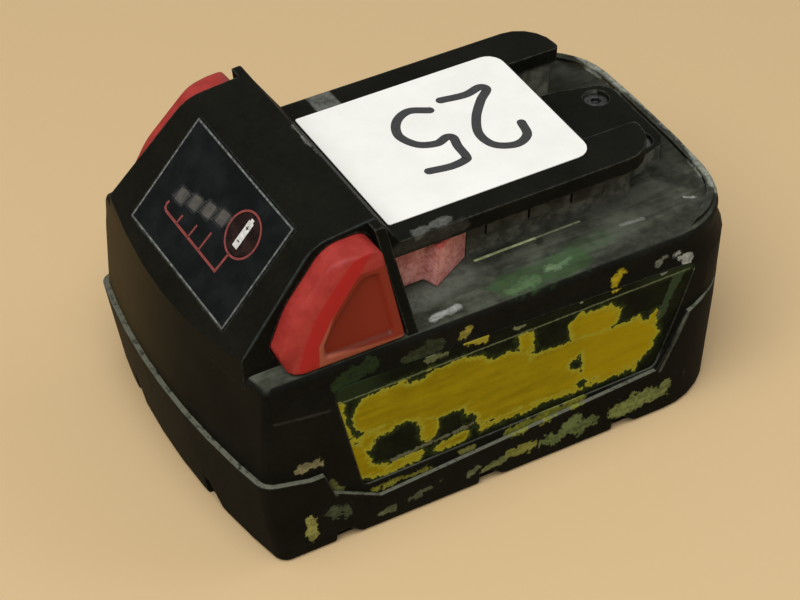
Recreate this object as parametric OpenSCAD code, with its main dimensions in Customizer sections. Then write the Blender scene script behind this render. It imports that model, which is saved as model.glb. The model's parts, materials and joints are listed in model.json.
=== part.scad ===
// Slide-on battery pack for cordless tools.
// A tub and an upper housing hold ten cells in two layers, with welded straps, a main board and a
// terminal holder. The upper housing carries the slide rail, the sprung release latches and the gauge head.
// Millimetres. +X is the right-hand side, +Y points to the terminal end, +Z is up.
// The origin lies under the middle of the base.

/* [Cells] */
// Diameter of a cell
cell_d = 18.4; // [18:0.1:19]
// Length of a cell over its end cap
cell_l = 65.1; // [64:0.1:67]
// Cell spacing along the pack
cell_pitch = 19.6; // [19.3:0.1:21]
// Cell spacing between the two layers
layer_pitch = 19.4; // [19.3:0.1:21]
// Cells in each layer
columns = 5; // [5:1:5]
// Thickness of the nickel straps
strap_t = 0.25; // [0.15:0.05:0.5]
// Width of each cell carrier across the pack
carrier_w = 7.5; // [5:0.5:12]
// Web of the carrier under the lower cells
carrier_foot = 0.95; // [0.8:0.05:2]
// Web of the carrier over the upper cells
carrier_head = 2.05; // [1:0.05:4]
// Clearance between a cell and its pocket in the carrier
cell_gap = 0.15; // [0.1:0.05:0.3]

/* [Housing] */
// Wall of both housings
wall = 2.4; // [1.8:0.1:3]
// Room between the straps and the upper housing's side wall
side_room = 3.55; // [3:0.05:6]
// Room between the row of cells and each end of the pack
end_room = 18; // [17:0.5:24]
// Bow of the front between its corners
front_bow = 4.5; // [2:0.5:7]
// Radius of the upright corners at the front
front_r = 4; // [3:0.5:8]
// Bow of the rear between its corners
rear_bow = 1.2; // [0.4:0.2:3]
// Radius of the upright corners at the rear
rear_r = 21; // [12:0.5:22]
// How far the upper housing sits in, which leaves the ledge round the tub
ledge = 1.25; // [0.6:0.05:2]
// How far the front of the tub draws in towards the base
front_draft = 4.5; // [1:0.5:6]
// How far the rear of the tub draws in towards the base
rear_draft = 0.5; // [0.5:0.5:4]
// How far the long sides of the tub draw in towards the base
side_draft = 0.6; // [0.2:0.1:2]
// Ledge height round the front
ledge_front_z = 26; // [20:0.5:28]
// Lowest ledge height, on the long side near the front
ledge_low_z = 9.8; // [8:0.2:13]
// Rise of the long side's ledge towards the rear
ledge_rise = 4.8; // [0:0.2:8]
// Ledge height round the rear
ledge_rear_z = 31; // [26:0.5:36]
// Headroom between the main board and the deck
headroom = 4.8; // [4.2:0.1:10]
// Height of the crease where the upper walls start to lean in
belt_z = 43; // [40:0.5:44]
// Height of the foot notches
notch_h = 3.5; // [1:0.5:5]
// Length of a foot notch along the edge
notch_l = 9; // [5:0.5:12]
// Depth of a foot notch into the wall
notch_d = 2; // [1:0.25:2]

/* [Rail] */
// Width over the rail's flanges
rail_w = 53; // [50:0.5:58]
// Width of the rail's neck under the flanges
neck_w = 41.2; // [40:0.2:44]
// Height of the rail over the deck
rail_h = 17.2; // [15:0.2:22]
// Thickness of the flanges
flange_t = 4; // [3:0.1:6]
// Distance from the rail's arm tips to the rear end
rail_setback = 22; // [20:0.5:26]
// Gap between the two arms
arm_gap = 31.2; // [28:0.2:34]
// Length of the arms past the terminal wall
arm_l = 14; // [10:0.5:18]
// Radius of the arms' outer ends
arm_r = 9; // [4:0.5:9]
// Height of the floor between the arms over the deck
arm_floor = 4.4; // [3:0.1:8]
// Rail wall thickness
rail_wall = 2.8; // [2:0.1:3.5]
// Length of a pad on the rail's neck
pad_l = 9; // [6:0.5:12]
// Spacing of those pads
pad_pitch = 11.2; // [10:0.2:16]

/* [Gauge head] */
// Height of the gauge head over the deck
head_h = 28.1; // [26:0.1:34]
// Width of the head at its ridge
head_top_w = 56.5; // [52:0.5:58]
// Width of the head at the deck
head_foot_w = 63; // [60:0.5:66]
// Tilt of the gauge face from level
gauge_tilt = 50.5; // [46:0.5:54]
// Width of the gauge panel
gauge_w = 42.8; // [36:0.2:46]
// Height of the gauge panel up the slope
gauge_h = 27; // [22:0.2:28]
// Thickness of the gauge panel
gauge_t = 0.8; // [0.6:0.1:1.2]
// Wall of the head
head_wall = 2.2; // [1.8:0.1:3]
// Length of the head's roof behind the gauge face
roof_l = 15; // [12:0.5:18]
// Radius of the gauge button
gauge_button_r = 4.8; // [3:0.1:4.9]
// Travel of the gauge button
gauge_travel = 0.6; // [0.3:0.1:0.8]
// Thickness of the fins behind the latch buttons
fin_t = 2.6; // [2:0.1:3.5]
// Width over both fins at the deck
fin_foot_w = 73; // [70:0.5:74]
// Width over both fins at the ridge
fin_top_w = 63; // [58:0.5:66]

/* [Latches] */
// Travel of each latch
latch_travel = 5; // [3:0.25:5.5]
// Running gap round the latches
latch_gap = 0.35; // [0.25:0.05:0.6]
// Reach of the thumb pad from the pack's middle at the deck
pad_reach = 37.4; // [35:0.1:38]
// Reach of the hook past the rail's neck
hook_reach = 5.7; // [3.5:0.1:5.9]
// Length of the hook's lead-in ramp
hook_ramp = 10.4; // [6:0.2:12]
// Outer diameter of a latch spring
spring_d = 8; // [6:0.5:9]
// Wire of a latch spring
spring_wire = 0.8; // [0.5:0.1:1]
// Turns of a latch spring
spring_turns = 6; // [4:1:8]

/* [Board and terminals] */
// Thickness of the boards
board_t = 1.6; // [1:0.1:2]
// Number of terminal contacts
contacts = 5; // [5:1:5]
// Spacing of the terminal contacts
contact_pitch = 5.6; // [5:0.1:6]
// Sheet that the contacts are bent from
contact_t = 0.5; // [0.3:0.1:0.6]
// Gap between a contact's two leaves
contact_gap = 0.8; // [0.6:0.1:1]
// Length of the terminal holder
holder_l = 17; // [12:0.5:20]
// Screw shank radius
screw_r = 1.45; // [1:0.05:1.8]
// Screw head radius
screw_head_r = 2.8; // [2.2:0.1:3]

/* [Labels] */
// Thickness of the side labels
label_t = 0.4; // [0.2:0.1:0.6]
// Depth of the recess that the side labels lie in
label_recess = 0.7; // [0.4:0.1:1]
// Width of the asset label across the rail
asset_w = 41.4; // [30:0.2:48]
// Length of the asset label along the rail
asset_l = 52.4; // [40:0.2:52.6]
// Thickness of the asset label
asset_t = 0.2; // [0.1:0.05:0.4]

/* [Hidden] */
$fn = 48;
// Small overshoot that keeps cuts clean
cut = 1;
// Clearance between fixed pieces that slip together
slip = 0.15;
corner_steps = 5;
plan_steps = 8;
bow_steps = 4;

black = "#1c1c1a";
dark = "#26292b";
red = "#c5423b";
steel = "#b9bcc0";
nickel = "#c9c5b8";
board_green = "#1f5a38";
carrier_grey = "#3a3d40";
label_yellow = "#c2b41c";

pack_w = cell_l + 2 * (strap_t + side_room + wall + ledge);
pack_l = columns * cell_pitch + 2 * end_room;
front = -pack_l / 2;
rear = pack_l / 2;

// Stack of heights from the floor up
floor_z = wall;
cell_z = floor_z + carrier_foot + cell_d / 2;
carrier_top = cell_z + layer_pitch + cell_d / 2 + carrier_head;
board_top = carrier_top + board_t;
deck_z = board_top + headroom + wall;
rail_top = deck_z + rail_h;
flange_z = rail_top - flange_t;
ridge_z = deck_z + head_h;

// The row of cells lies a little towards the front, clear of the screw posts
cells_shift = -2;
carrier_lip = 1.6;
function cell_y(column) = cells_shift + (column - (columns - 1) / 2) * cell_pitch;
function cell_level(layer) = cell_z + layer * layer_pitch;
cells_front = cell_y(0) - cell_d / 2;
cells_rear = cell_y(columns - 1) + cell_d / 2;

// Rail stations along Y
arm_tip = rear - rail_setback;
terminal_wall = arm_tip - arm_l;

// Gauge face: a frame at the middle of the panel, u across, v up the slope, w outward
head_setback = 4.8;
head_lip = 5.3;
gauge_margin = 0.6;
ramp_l = 7.4;
gauge_foot = [front + head_setback, deck_z + head_lip];
gauge_up = [cos(gauge_tilt), sin(gauge_tilt)];
gauge_mid = gauge_foot + gauge_up * gauge_h / 2;
crease = gauge_foot + gauge_up * (gauge_h + gauge_margin);
ridge_y = crease.x + roof_l;
ramp_foot_y = ridge_y + ramp_l;

// Fin: its rear face leans forward from the deck up to the ramp
fin_setback = 1;
fin_lean = 6;
fin_foot_y = ramp_foot_y - fin_setback;
function fin_y(z) = fin_foot_y - fin_lean * (z - deck_z) / head_h;
function fin_front(z) = fin_y(z) - fin_t;
function fin_x(z) = fin_foot_w / 2 + (fin_top_w - fin_foot_w) / 2 * (z - deck_z) / head_h;
function cheek_x(z) = head_foot_w / 2 + (head_top_w - head_foot_w) / 2 * (z - deck_z) / head_h;

// Latch stations
button_inner = 20.5;
button_inset = head_wall;
button_foot = deck_z + latch_gap;
hook_gap_y = 10.8;
hook_gap_z = 1.2;
hook_rise = 1.4;
hook_y = fin_foot_y + hook_gap_y;
hook_end = hook_y + hook_ramp;
hook_top = flange_z - hook_gap_z;
arm_proud = 2.2;
arm_outer = neck_w / 2 + arm_proud;
arm_root = 4;
arm_root_y = ridge_y - arm_root;
stop_outer = neck_w / 2 - rail_wall - latch_gap;
stop_t = 2.8;
stop_l = 3;
spring_from_ridge = 11;
spring_over_deck = 9;
spring_at = [ridge_y - spring_from_ridge, deck_z + spring_over_deck];
spring_fit = 0.4;
rib_half = 2;
rib_l = 12;
boss_r = spring_d / 2 - spring_wire - spring_fit;
boss_l = 3;

// Screw posts behind the cells
post_r = 3.6;
post_gap = 2;
post_at = [9, cells_rear + post_r + post_gap];
post_top = carrier_top;
screw_head_h = 2;
screw_well = 0.8;
screw_seat = deck_z + arm_floor - screw_well - screw_head_h;
screw_l = 16;
screw_grip = 0.05;
screw_room = 0.3;

// Outline helpers
function unit(v) = v / norm(v);
function turn(a, b) = a.x * b.y - a.y * b.x;

// One corner of an outline, as an arc of radius r from edge ab to edge bc
function corner(a, b, c, r, steps) =
    r <= 0 ? [b] :
    let (
        u = unit(a - b),
        v = unit(c - b),
        half = acos(max(-1, min(1, u * v))) / 2,
        o = b + unit(u + v) * r / sin(half),
        s = b + u * r / tan(half) - o,
        start = atan2(s.y, s.x),
        sweep = (180 - 2 * half) * sign(turn(b - a, c - b))
    )
    [for (i = [0 : steps])
        let (angle = start + sweep * i / steps)
        o + r * [cos(angle), sin(angle)]];

// An outline from [x, y, radius] points
function rounded(p, steps = corner_steps) =
    let (k = len(p))
    [for (i = [0 : k - 1])
        let (a = p[(i + k - 1) % k], b = p[i], c = p[(i + 1) % k])
        each corner([a.x, a.y], [b.x, b.y], [c.x, c.y], b.z, steps)];

// The same kind of points, moved outward by g (the outline runs anticlockwise)
function grown(p, g) =
    let (k = len(p))
    [for (i = [0 : k - 1])
        let (
            a = p[(i + k - 1) % k],
            b = p[i],
            c = p[(i + 1) % k],
            e = unit([b.x - a.x, b.y - a.y]),
            f = unit([c.x - b.x, c.y - b.y]),
            m = [e.y, -e.x],
            n = [f.y, -f.x],
            q = [b.x, b.y] + (m + n) * g / (1 + m * n)
        )
        [q.x, q.y, b.z > 0 ? max(b.z + g, 0.2) : 0]];

// Plan of the pack, drawn in at the sides, the front and the rear: a bowed front, a nearly straight rear
function front_bow_at(x, half) = front_bow * pow(x / half, 2);
function plan(side, front_in, rear_in) =
    let (
        half = pack_w / 2 - side,
        front_y = front + front_in,
        rear_y = rear - rear_in,
        front_arc = max(front_r - side, 1.5),
        rear_arc = max(rear_r - side, 2)
    )
    rounded(concat(
        [for (i = [-bow_steps : bow_steps])
            let (x = half * i / bow_steps)
            [x, front_y + front_bow_at(x, half), abs(i) == bow_steps ? front_arc : 0]],
        [
            [half, rear_y - rear_bow, rear_arc],
            [half / bow_steps, rear_y, 0],
            [-half / bow_steps, rear_y, 0],
            [-half, rear_y - rear_bow, rear_arc]
        ]), plan_steps);

// Solid through a stack of rings that have the same number of points
module skin(rings) {
    n = len(rings[0]);
    top = (len(rings) - 1) * n;
    polyhedron(
        points = [for (r = rings) each r],
        faces = concat(
            [[for (j = [0 : n - 1]) j]],
            [[for (j = [n - 1 : -1 : 0]) top + j]],
            [for (i = [0 : len(rings) - 2], j = [0 : n - 1])
                let (a = i * n + j, b = i * n + (j + 1) % n)
                each [[a, a + n, b], [b, a + n, b + n]]]));
}

// Levels are [height, drawn in at the sides, at the front, at the rear]
module loft(levels) {
    skin([for (l = levels) [for (p = plan(l[1], l[2], l[3])) [p.x, p.y, l[0]]]]);
}

// A side view (y, z) carried across the pack
module across(width) {
    rotate([90, 0, 90])
        linear_extrude(width, center = true)
            children();
}

// A front view (x, z) carried along the pack from y0 to y1
module along(y0, y1) {
    translate([0, y1, 0])
        rotate([90, 0, 0])
            linear_extrude(y1 - y0)
                children();
}

module box(low, high) {
    translate(low)
        cube(high - low);
}

module both_sides() {
    children();
    mirror([1, 0, 0])
        children();
}

module on_gauge() {
    translate([0, gauge_mid.x, gauge_mid.y])
        rotate([gauge_tilt, 0, 0])
            children();
}

// Housing: stations of the side label, which the parting line runs round
label_over = 4.4;
label_under = 6;
label_setback = [22, 18];
label_front = front + label_setback[0];
label_rear = rear - label_setback[1];
label_low = ledge_low_z + label_over;
label_high = deck_z - label_under;
label_slant = [8, 9];
label_fall = 2.5;
label_rise = 1;
label_r = 2;
label_face = pack_w / 2 - ledge - label_recess;

// Parting line in side view, from front to rear
front_dip = [7, 16, 0.5, 2.9];
front_step = [2.6, 6.6];
front_ramp = 12;
rear_ramp = [9, 7.5];
rear_step = [4, 1.5];
parting = [
    [front - cut, ledge_front_z],
    [front + front_dip[0], ledge_front_z - front_dip[2]],
    [front + front_dip[1], ledge_front_z - front_dip[3]],
    [label_front - front_step.x, ledge_front_z - front_dip[3]],
    [label_front, ledge_front_z - front_dip[3] - front_step.y],
    [label_front + front_ramp, ledge_low_z],
    [label_rear - rear_ramp.x, ledge_low_z + ledge_rise],
    [label_rear - rear_ramp.x + rear_ramp.y, ledge_rear_z - rear_step.y],
    [label_rear + rear_step.x, ledge_rear_z],
    [rear + cut, ledge_rear_z]
];

// Rounding of the tub's bottom edge. Over the crease the upper walls step in, most of all at the rear
base_edge = 1.2;
belt_h = 4;
belt_side = 0.9;
belt_rear = 1.8;
deck_round = 1.8;
rear_round = 0.7;
room_round = 2;
edge_steps = 3;
rear_under = 0.35;
rear_tuck = ledge + rear_under;
function tub_level(z, in) = [z, side_draft + in, front_draft + in, rear_tuck + rear_draft + in];
function rim_level(z, in) = [z, in, in, rear_tuck + in];
lower_levels = [
    tub_level(0, base_edge),
    tub_level(base_edge * 0.3, base_edge * 0.3),
    tub_level(base_edge, 0),
    rim_level(ledge_front_z, 0),
    rim_level(ledge_rear_z + cut, 0)
];
lower_room = [
    tub_level(floor_z, wall),
    rim_level(ledge_front_z, wall),
    rim_level(ledge_rear_z + 2 * cut, wall)
];
function deck_level(z, in, share) = [z, ledge + belt_side + in, ledge + in, ledge + belt_rear + in * share];
upper_levels = concat(
    [for (z = [ledge_low_z - cut, belt_z]) [z, ledge, ledge, ledge]],
    [deck_level(belt_z + belt_h, 0, 1)],
    [for (i = [0 : edge_steps])
        let (a = 90 * i / edge_steps)
        deck_level(deck_z - deck_round * (1 - sin(a)), deck_round * (1 - cos(a)), rear_round / deck_round)]);
room_in = ledge + wall;
upper_room = [
    [ledge_low_z - 2 * cut, room_in, room_in, room_in],
    [belt_z, room_in, room_in, room_in],
    deck_level(deck_z - wall - room_round, wall, 1),
    deck_level(deck_z - wall, wall + room_round, 1)
];

// A saw-tooth relief in the bottom edge: upright at its front, ramped out at its rear
notch_first = 23;
notch_mid = -7;
notch_last = 38;
side_notches = [front + notch_first, notch_mid, rear - notch_last];
front_notches = [-26, 12];

front_notch = [7.5, 6.5];
front_skin = 0.4;
front_lean = atan(front_draft / ledge_front_z);

module foot_notch(l, h) {
    rotate([90, 0, 90])
        linear_extrude(2 * notch_d, center = true)
            polygon([[0, -cut], [0, h], [l / 3, h], [l, -cut]]);
}

module foot_notches() {
    both_sides()
        for (y = side_notches)
            translate([pack_w / 2 - side_draft, y, 0])
                foot_notch(notch_l, notch_h);
    for (x = front_notches)
        translate([x, front + front_draft + front_bow_at(x, pack_w / 2) - front_skin, 0])
            rotate([front_lean, 0, 0])
                rotate([0, 0, -90])
                    foot_notch(front_notch.x, front_notch.y);
}

module lower_housing() {
    color(black)
        difference() {
            union() {
                difference() {
                    intersection() {
                        loft(lower_levels);
                        across(pack_w + 2 * cut)
                            polygon(concat([[front - cut, -cut]], parting, [[rear + cut, -cut]]));
                    }
                    loft(lower_room);
                    foot_notches();
                }
                both_sides()
                    translate([post_at.x, post_at.y, floor_z - cut])
                        cylinder(r = post_r, h = post_top - floor_z + cut);
            }
            both_sides()
                translate([post_at.x, post_at.y, screw_seat - screw_l - cut])
                    cylinder(r = screw_r + screw_grip, h = screw_l + 2 * cut);
        }
}

// Side view of the gauge head: sloped face, roof and the ramp down to the rail
head_tail = 4;
roof_r = 9;
head_outline = [
    [ramp_foot_y + head_tail, deck_z - cut, 0],
    [ramp_foot_y + head_tail, rail_top - cut, 0],
    [ramp_foot_y, rail_top, 0],
    [ridge_y, ridge_z, 1],
    [crease.x, crease.y, roof_r],
    [front - cut, gauge_foot.y - (gauge_foot.x - front + cut) * tan(gauge_tilt), 0],
    [front - cut, deck_z - 3 * cut, 0]
];

// Side view of a latch button: its toe, back, top, brow, cheek and nose
button_toe = 8.2;
button_top_r = 4;
button_brow = [2.4, -1.1, 8];
button_cheek = [10.1, 8.7, 18];
button_nose = [6.2, 0.1, 2];
button_top = ridge_z - button_inset;
button_outline = [
    [gauge_foot.x + button_toe, button_foot, 1],
    [fin_front(button_foot) - latch_gap, button_foot, 0.6],
    [fin_front(button_top) - latch_gap, button_top, button_top_r],
    [crease.x + button_brow.x, crease.y + button_brow.y, button_brow.z],
    [gauge_foot.x + button_cheek.x, gauge_foot.y + button_cheek.y, button_cheek.z],
    [gauge_foot.x + button_nose.x, gauge_foot.y + button_nose.y, button_nose.z]
];

// Side view of the room inside the head, up to the fins
head_room = [
    [gauge_foot.x + button_toe, deck_z],
    [fin_front(deck_z), deck_z],
    [fin_front(ridge_z - head_wall), ridge_z - head_wall],
    [crease.x + head_wall, crease.y - head_wall],
    [gauge_foot.x + head_wall, gauge_foot.y - head_wall / 3]
];

// Plan of the rail: two arms with rounded outer ends
rail_root_y = ridge_y;
neck_setback = 1.5;
neck_r = 3.5;
pad_first = 5;
pad_proud = 0.8;
pad_over = 5;
pad_under = 2;
platform_setback = 9.5;
platform_end = rear - platform_setback;
platform_cut = 2.2;
platform_cheek = [12.8, platform_end - platform_cut];
platform_nose = 10.2;

function rail_plan(half, tip, r) = [
    [-half, rail_root_y, 0],
    [half, rail_root_y, 0],
    [half, tip, r],
    [arm_gap / 2, tip, 1],
    [arm_gap / 2, terminal_wall, 0],
    [-arm_gap / 2, terminal_wall, 0],
    [-arm_gap / 2, tip, 1],
    [-half, tip, r]
];

module rail() {
    translate([0, 0, flange_z])
        linear_extrude(flange_t)
            polygon(rounded(rail_plan(rail_w / 2, arm_tip, arm_r)));
    translate([0, 0, deck_z - cut])
        linear_extrude(rail_h - flange_t + 2 * cut)
            polygon(rounded(rail_plan(neck_w / 2, arm_tip - neck_setback, neck_r)));
    // Pads on the neck
    both_sides()
        for (y = [hook_end + pad_first : pad_pitch : arm_tip - neck_setback - neck_r - pad_l])
            box(
                [neck_w / 2 - cut, y, deck_z + pad_over],
                [neck_w / 2 + pad_proud, y + pad_l, flange_z - pad_under]);
    // Platform between the arms, which carries the screw wells
    translate([0, 0, deck_z - cut])
        linear_extrude(arm_floor + cut)
            polygon([
                [-arm_gap / 2, terminal_wall - cut],
                [arm_gap / 2, terminal_wall - cut],
                [arm_gap / 2, arm_tip],
                platform_cheek,
                [platform_nose, platform_end],
                [-platform_nose, platform_end],
                [-platform_cheek.x, platform_cheek.y],
                [-arm_gap / 2, arm_tip]
            ]);
}

// Side view of what lies behind the fins, from the deck up to a height
module behind_fins(top) {
    polygon([
        [fin_y(deck_z), deck_z],
        [ramp_foot_y + head_tail + cut, deck_z],
        [ramp_foot_y + head_tail + cut, top],
        [fin_y(top), top]
    ]);
}

module fins() {
    intersection() {
        across(fin_foot_w + 2 * cut)
            polygon([
                [fin_front(deck_z - cut), deck_z - cut],
                [fin_y(deck_z - cut), deck_z - cut],
                [fin_y(ridge_z), ridge_z],
                [fin_front(ridge_z), ridge_z]
            ]);
        across(fin_foot_w + 4 * cut)
            polygon(rounded(head_outline));
        along(fin_front(ridge_z) - cut, fin_y(deck_z) + cut)
            polygon([
                [-fin_x(deck_z - cut), deck_z - cut],
                [fin_x(deck_z - cut), deck_z - cut],
                [fin_x(ridge_z), ridge_z],
                [-fin_x(ridge_z), ridge_z]
            ]);
    }
}

module head() {
    difference() {
        intersection() {
            across(head_foot_w + 4 * cut)
                polygon(rounded(head_outline));
            along(front - 2 * cut, ramp_foot_y + head_tail + cut)
                polygon([
                    [-cheek_x(deck_z - 4 * cut), deck_z - 4 * cut],
                    [cheek_x(deck_z - 4 * cut), deck_z - 4 * cut],
                    [cheek_x(ridge_z + cut), ridge_z + cut],
                    [-cheek_x(ridge_z + cut), ridge_z + cut]
                ]);
            translate([0, 0, deck_z - 4 * cut])
                linear_extrude(head_h + 6 * cut)
                    polygon(plan(ledge, ledge, ledge));
        }
        // Behind the fins only the rail goes on
        both_sides() {
            translate([(rail_w + pack_w) / 2, 0, 0])
                across(pack_w)
                    behind_fins(ridge_z + cut);
            translate([(neck_w + pack_w) / 2, 0, 0])
                across(pack_w)
                    behind_fins(flange_z);
        }
    }
    fins();
}

// A low lip that follows the rear edge of the deck round both corners
lip_h = 1;
lip_w = 2;
lip_draft = 0.33;
lip_run = 6;
lip_start = rear - rear_r;
function lip_ring(in) = plan(ledge + belt_side + deck_round + in, ledge, ledge + belt_rear + rear_round + in);

module rear_lip() {
    intersection() {
        difference() {
            skin([
                [for (p = lip_ring(0)) [p.x, p.y, deck_z - cut]],
                [for (p = lip_ring(lip_draft)) [p.x, p.y, deck_z + lip_h]]
            ]);
            translate([0, 0, deck_z - 2 * cut])
                linear_extrude(lip_h + 3 * cut)
                    polygon(lip_ring(lip_w));
        }
        across(pack_w)
            polygon([
                [lip_start, deck_z - cut],
                [rear, deck_z - cut],
                [rear, deck_z + lip_h + cut],
                [lip_start + lip_run, deck_z + lip_h + cut]
            ]);
    }
}

module latch_ways() {
    way_in = stop_outer - stop_t - latch_travel - cut;
    // Window for the button in the side of the head
    translate([pack_w / 4 + button_inner - latch_travel - latch_gap, 0, 0])
        across(pack_w / 2)
            polygon(rounded(grown(button_outline, latch_gap)));
    // Way for the arm and the hook, through the fin and the rail's neck
    box(
        [way_in, arm_root_y - cut, deck_z],
        [arm_outer + latch_gap, hook_end + latch_gap, hook_top + latch_gap]);
    // The stop plate behind the neck reaches past the window
    box(
        [way_in, arm_root_y - cut, deck_z],
        [stop_outer + latch_gap, hook_end + stop_l + cut, hook_top + latch_gap]);
}

module side_label_outline(g) {
    polygon(rounded(grown([
        [label_front + label_slant.x, label_low, label_r],
        [label_rear - label_slant.y, label_low + label_rise, label_r],
        [label_rear, label_high - label_fall, label_r],
        [label_front, label_high, label_r]
    ], g)));
}

module upper_housing() {
    color(black)
        difference() {
            union() {
                difference() {
                    union() {
                        intersection() {
                            loft(upper_levels);
                            across(pack_w + 2 * cut)
                                polygon(concat(parting, [[rear + cut, ridge_z], [front - cut, ridge_z]]));
                        }
                        rail();
                        head();
                        rear_lip();
                    }
                    loft(upper_room);
                    // Room inside the head and the rail
                    across(2 * (cheek_x(ridge_z) - head_wall))
                        polygon(head_room);
                    box(
                        [rail_wall - neck_w / 2, fin_front(deck_z) - cut, deck_z],
                        [neck_w / 2 - rail_wall, terminal_wall - rail_wall, rail_top - rail_wall]);
                    both_sides()
                        latch_ways();
                    // Opening in the deck for the terminal holder
                    box(
                        [-arm_gap / 2, holder_front - cut, deck_z - wall - cut],
                        [arm_gap / 2, terminal_wall - rail_wall, deck_z + cut]);
                    // Recesses for the side labels
                    both_sides()
                        translate([label_face + pack_w / 2, 0, 0])
                            across(pack_w)
                                side_label_outline(slip);
                }
                // Rib between the latches, with a boss for each spring
                box(
                    [-rib_half, spring_at.x - rib_l / 2, deck_z - cut],
                    [rib_half, spring_at.x + rib_l / 2, spring_at.y + spring_d / 2]);
                translate([-rib_half - boss_l, spring_at.x, spring_at.y])
                    rotate([0, 90, 0])
                        cylinder(r = boss_r, h = 2 * (rib_half + boss_l));
                // Screw bosses under the deck
                both_sides()
                    translate([post_at.x, post_at.y, post_top])
                        cylinder(r = post_r, h = deck_z - wall / 2 - post_top);
                // Studs behind the gauge face that carry the gauge board
                on_gauge()
                    for (p = gauge_studs)
                        translate([p.x, p.y, gauge_board_face])
                            cylinder(r = gauge_stud_r, h = gauge_gap);
            }
            // Screw holes and wells
            both_sides()
                translate([post_at.x, post_at.y, 0]) {
                    translate([0, 0, post_top - cut])
                        cylinder(r = screw_r + screw_room, h = screw_seat - post_top + 2 * cut);
                    translate([0, 0, screw_seat])
                        cylinder(r = screw_head_r + screw_room, h = rail_h);
                }
            // Window for the terminal holder in the wall between the arms
            box(
                [-holder_w / 2 - slip, terminal_wall - rail_wall - cut, deck_z + arm_floor],
                [holder_w / 2 + slip, terminal_wall + cut, holder_top + slip]);
            // Seat of the gauge panel, button hole and gauge windows
            on_gauge() {
                translate([-gauge_w / 2 - slip, -gauge_h / 2 - slip, -gauge_t])
                    cube([gauge_w + 2 * slip, gauge_h + 2 * slip, gauge_t + cut]);
                translate([gauge_button_at.x, gauge_button_at.y, -gauge_t - gauge_travel - slip])
                    cylinder(r = gauge_button_r + slip, h = gauge_t + cut);
                translate([gauge_button_at.x, gauge_button_at.y, gauge_board_face])
                    cylinder(r = gauge_stem_r + slip, h = -gauge_board_face);
                for (i = [0 : gauge_windows - 1])
                    translate([0, 0, gauge_board_face])
                        linear_extrude(-gauge_board_face)
                            polygon(rounded(grown(window_outline(i), slip)));
            }
        }
}

// Gauge
gauge_windows = 4;
gauge_button_at = [10.2, 3.9];
gauge_stem_r = 2;
gauge_proud = 0.2;
gauge_board_w = 2 * (button_inner - latch_travel - latch_gap);
gauge_board_h = 13;
gauge_board_at = 2.2;
gauge_gap = 2.4;
gauge_board_face = -head_wall - gauge_gap;
gauge_studs = [[-13, 5.8], [13, -2]];
gauge_stud_r = 1.4;
switch_h = 1.2;
switch_w = 5.2;
plunger_r = 1.6;
plunger_h = 0.4;
lamp = [1.6, 0.8, 0.8];

// The windows climb to the right; each is a parallelogram that leans with the row
window_first = [-11.8, -1.2];
window_pitch = [4.7, 1.33];
window_w = 4;
window_h = 3.6;
window_lean = 1;
function window_outline(i) =
    let (
        c = window_first + window_pitch * i,
        far = (window_w + window_lean) / 2,
        near = (window_w - window_lean) / 2,
        low = c.y - window_h / 2,
        high = c.y + window_h / 2
    )
    [[c.x - far, low, 0], [c.x + near, low, 0], [c.x + far, high, 0], [c.x - near, high, 0]];

module gauge_panel() {
    color(dark)
        on_gauge()
            difference() {
                translate([0, 0, -gauge_t])
                    linear_extrude(gauge_t + gauge_proud)
                        polygon(rounded([
                            [-gauge_w / 2, -gauge_h / 2, 0.8],
                            [gauge_w / 2, -gauge_h / 2, 0.8],
                            [gauge_w / 2, gauge_h / 2, 0.8],
                            [-gauge_w / 2, gauge_h / 2, 0.8]
                        ]));
                translate([gauge_button_at.x, gauge_button_at.y, -gauge_t - cut])
                    cylinder(r = gauge_button_r + slip, h = gauge_t + 3 * cut);
                for (i = [0 : gauge_windows - 1])
                    translate([0, 0, -gauge_t - cut])
                        linear_extrude(gauge_t + 3 * cut)
                            polygon(rounded(grown(window_outline(i), slip)));
            }
}

module gauge_button() {
    color(dark)
        on_gauge()
            translate([gauge_button_at.x, gauge_button_at.y, 0]) {
                translate([0, 0, -gauge_t])
                    cylinder(r = gauge_button_r, h = gauge_t + gauge_proud);
                translate([0, 0, gauge_board_face + switch_h + gauge_travel + slip])
                    cylinder(r = gauge_stem_r, h = -gauge_board_face - switch_h - gauge_travel - slip);
            }
}

module gauge_lenses() {
    color("#8d9296")
        on_gauge()
            for (i = [0 : gauge_windows - 1])
                translate([0, 0, gauge_board_face + lamp.z + slip])
                    linear_extrude(-gauge_board_face - lamp.z)
                        polygon(rounded(window_outline(i)));
}

module gauge_board() {
    color(board_green)
        on_gauge()
            translate([-gauge_board_w / 2, gauge_board_at - gauge_board_h / 2, gauge_board_face - board_t])
                cube([gauge_board_w, gauge_board_h, board_t]);
}

module gauge_lamps() {
    color("#e8e4d0")
        on_gauge()
            for (i = [0 : gauge_windows - 1])
                let (o = window_outline(i), c = (o[0] + o[2]) / 2)
                translate([c.x - lamp.x / 2, c.y - lamp.y / 2, gauge_board_face])
                    cube(lamp);
}

module gauge_switch() {
    color(steel)
        on_gauge()
            translate([gauge_button_at.x, gauge_button_at.y, gauge_board_face]) {
                translate([-switch_w / 2, -switch_w / 2, 0])
                    cube([switch_w, switch_w, switch_h - plunger_h]);
                cylinder(r = plunger_r, h = switch_h);
            }
}

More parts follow.
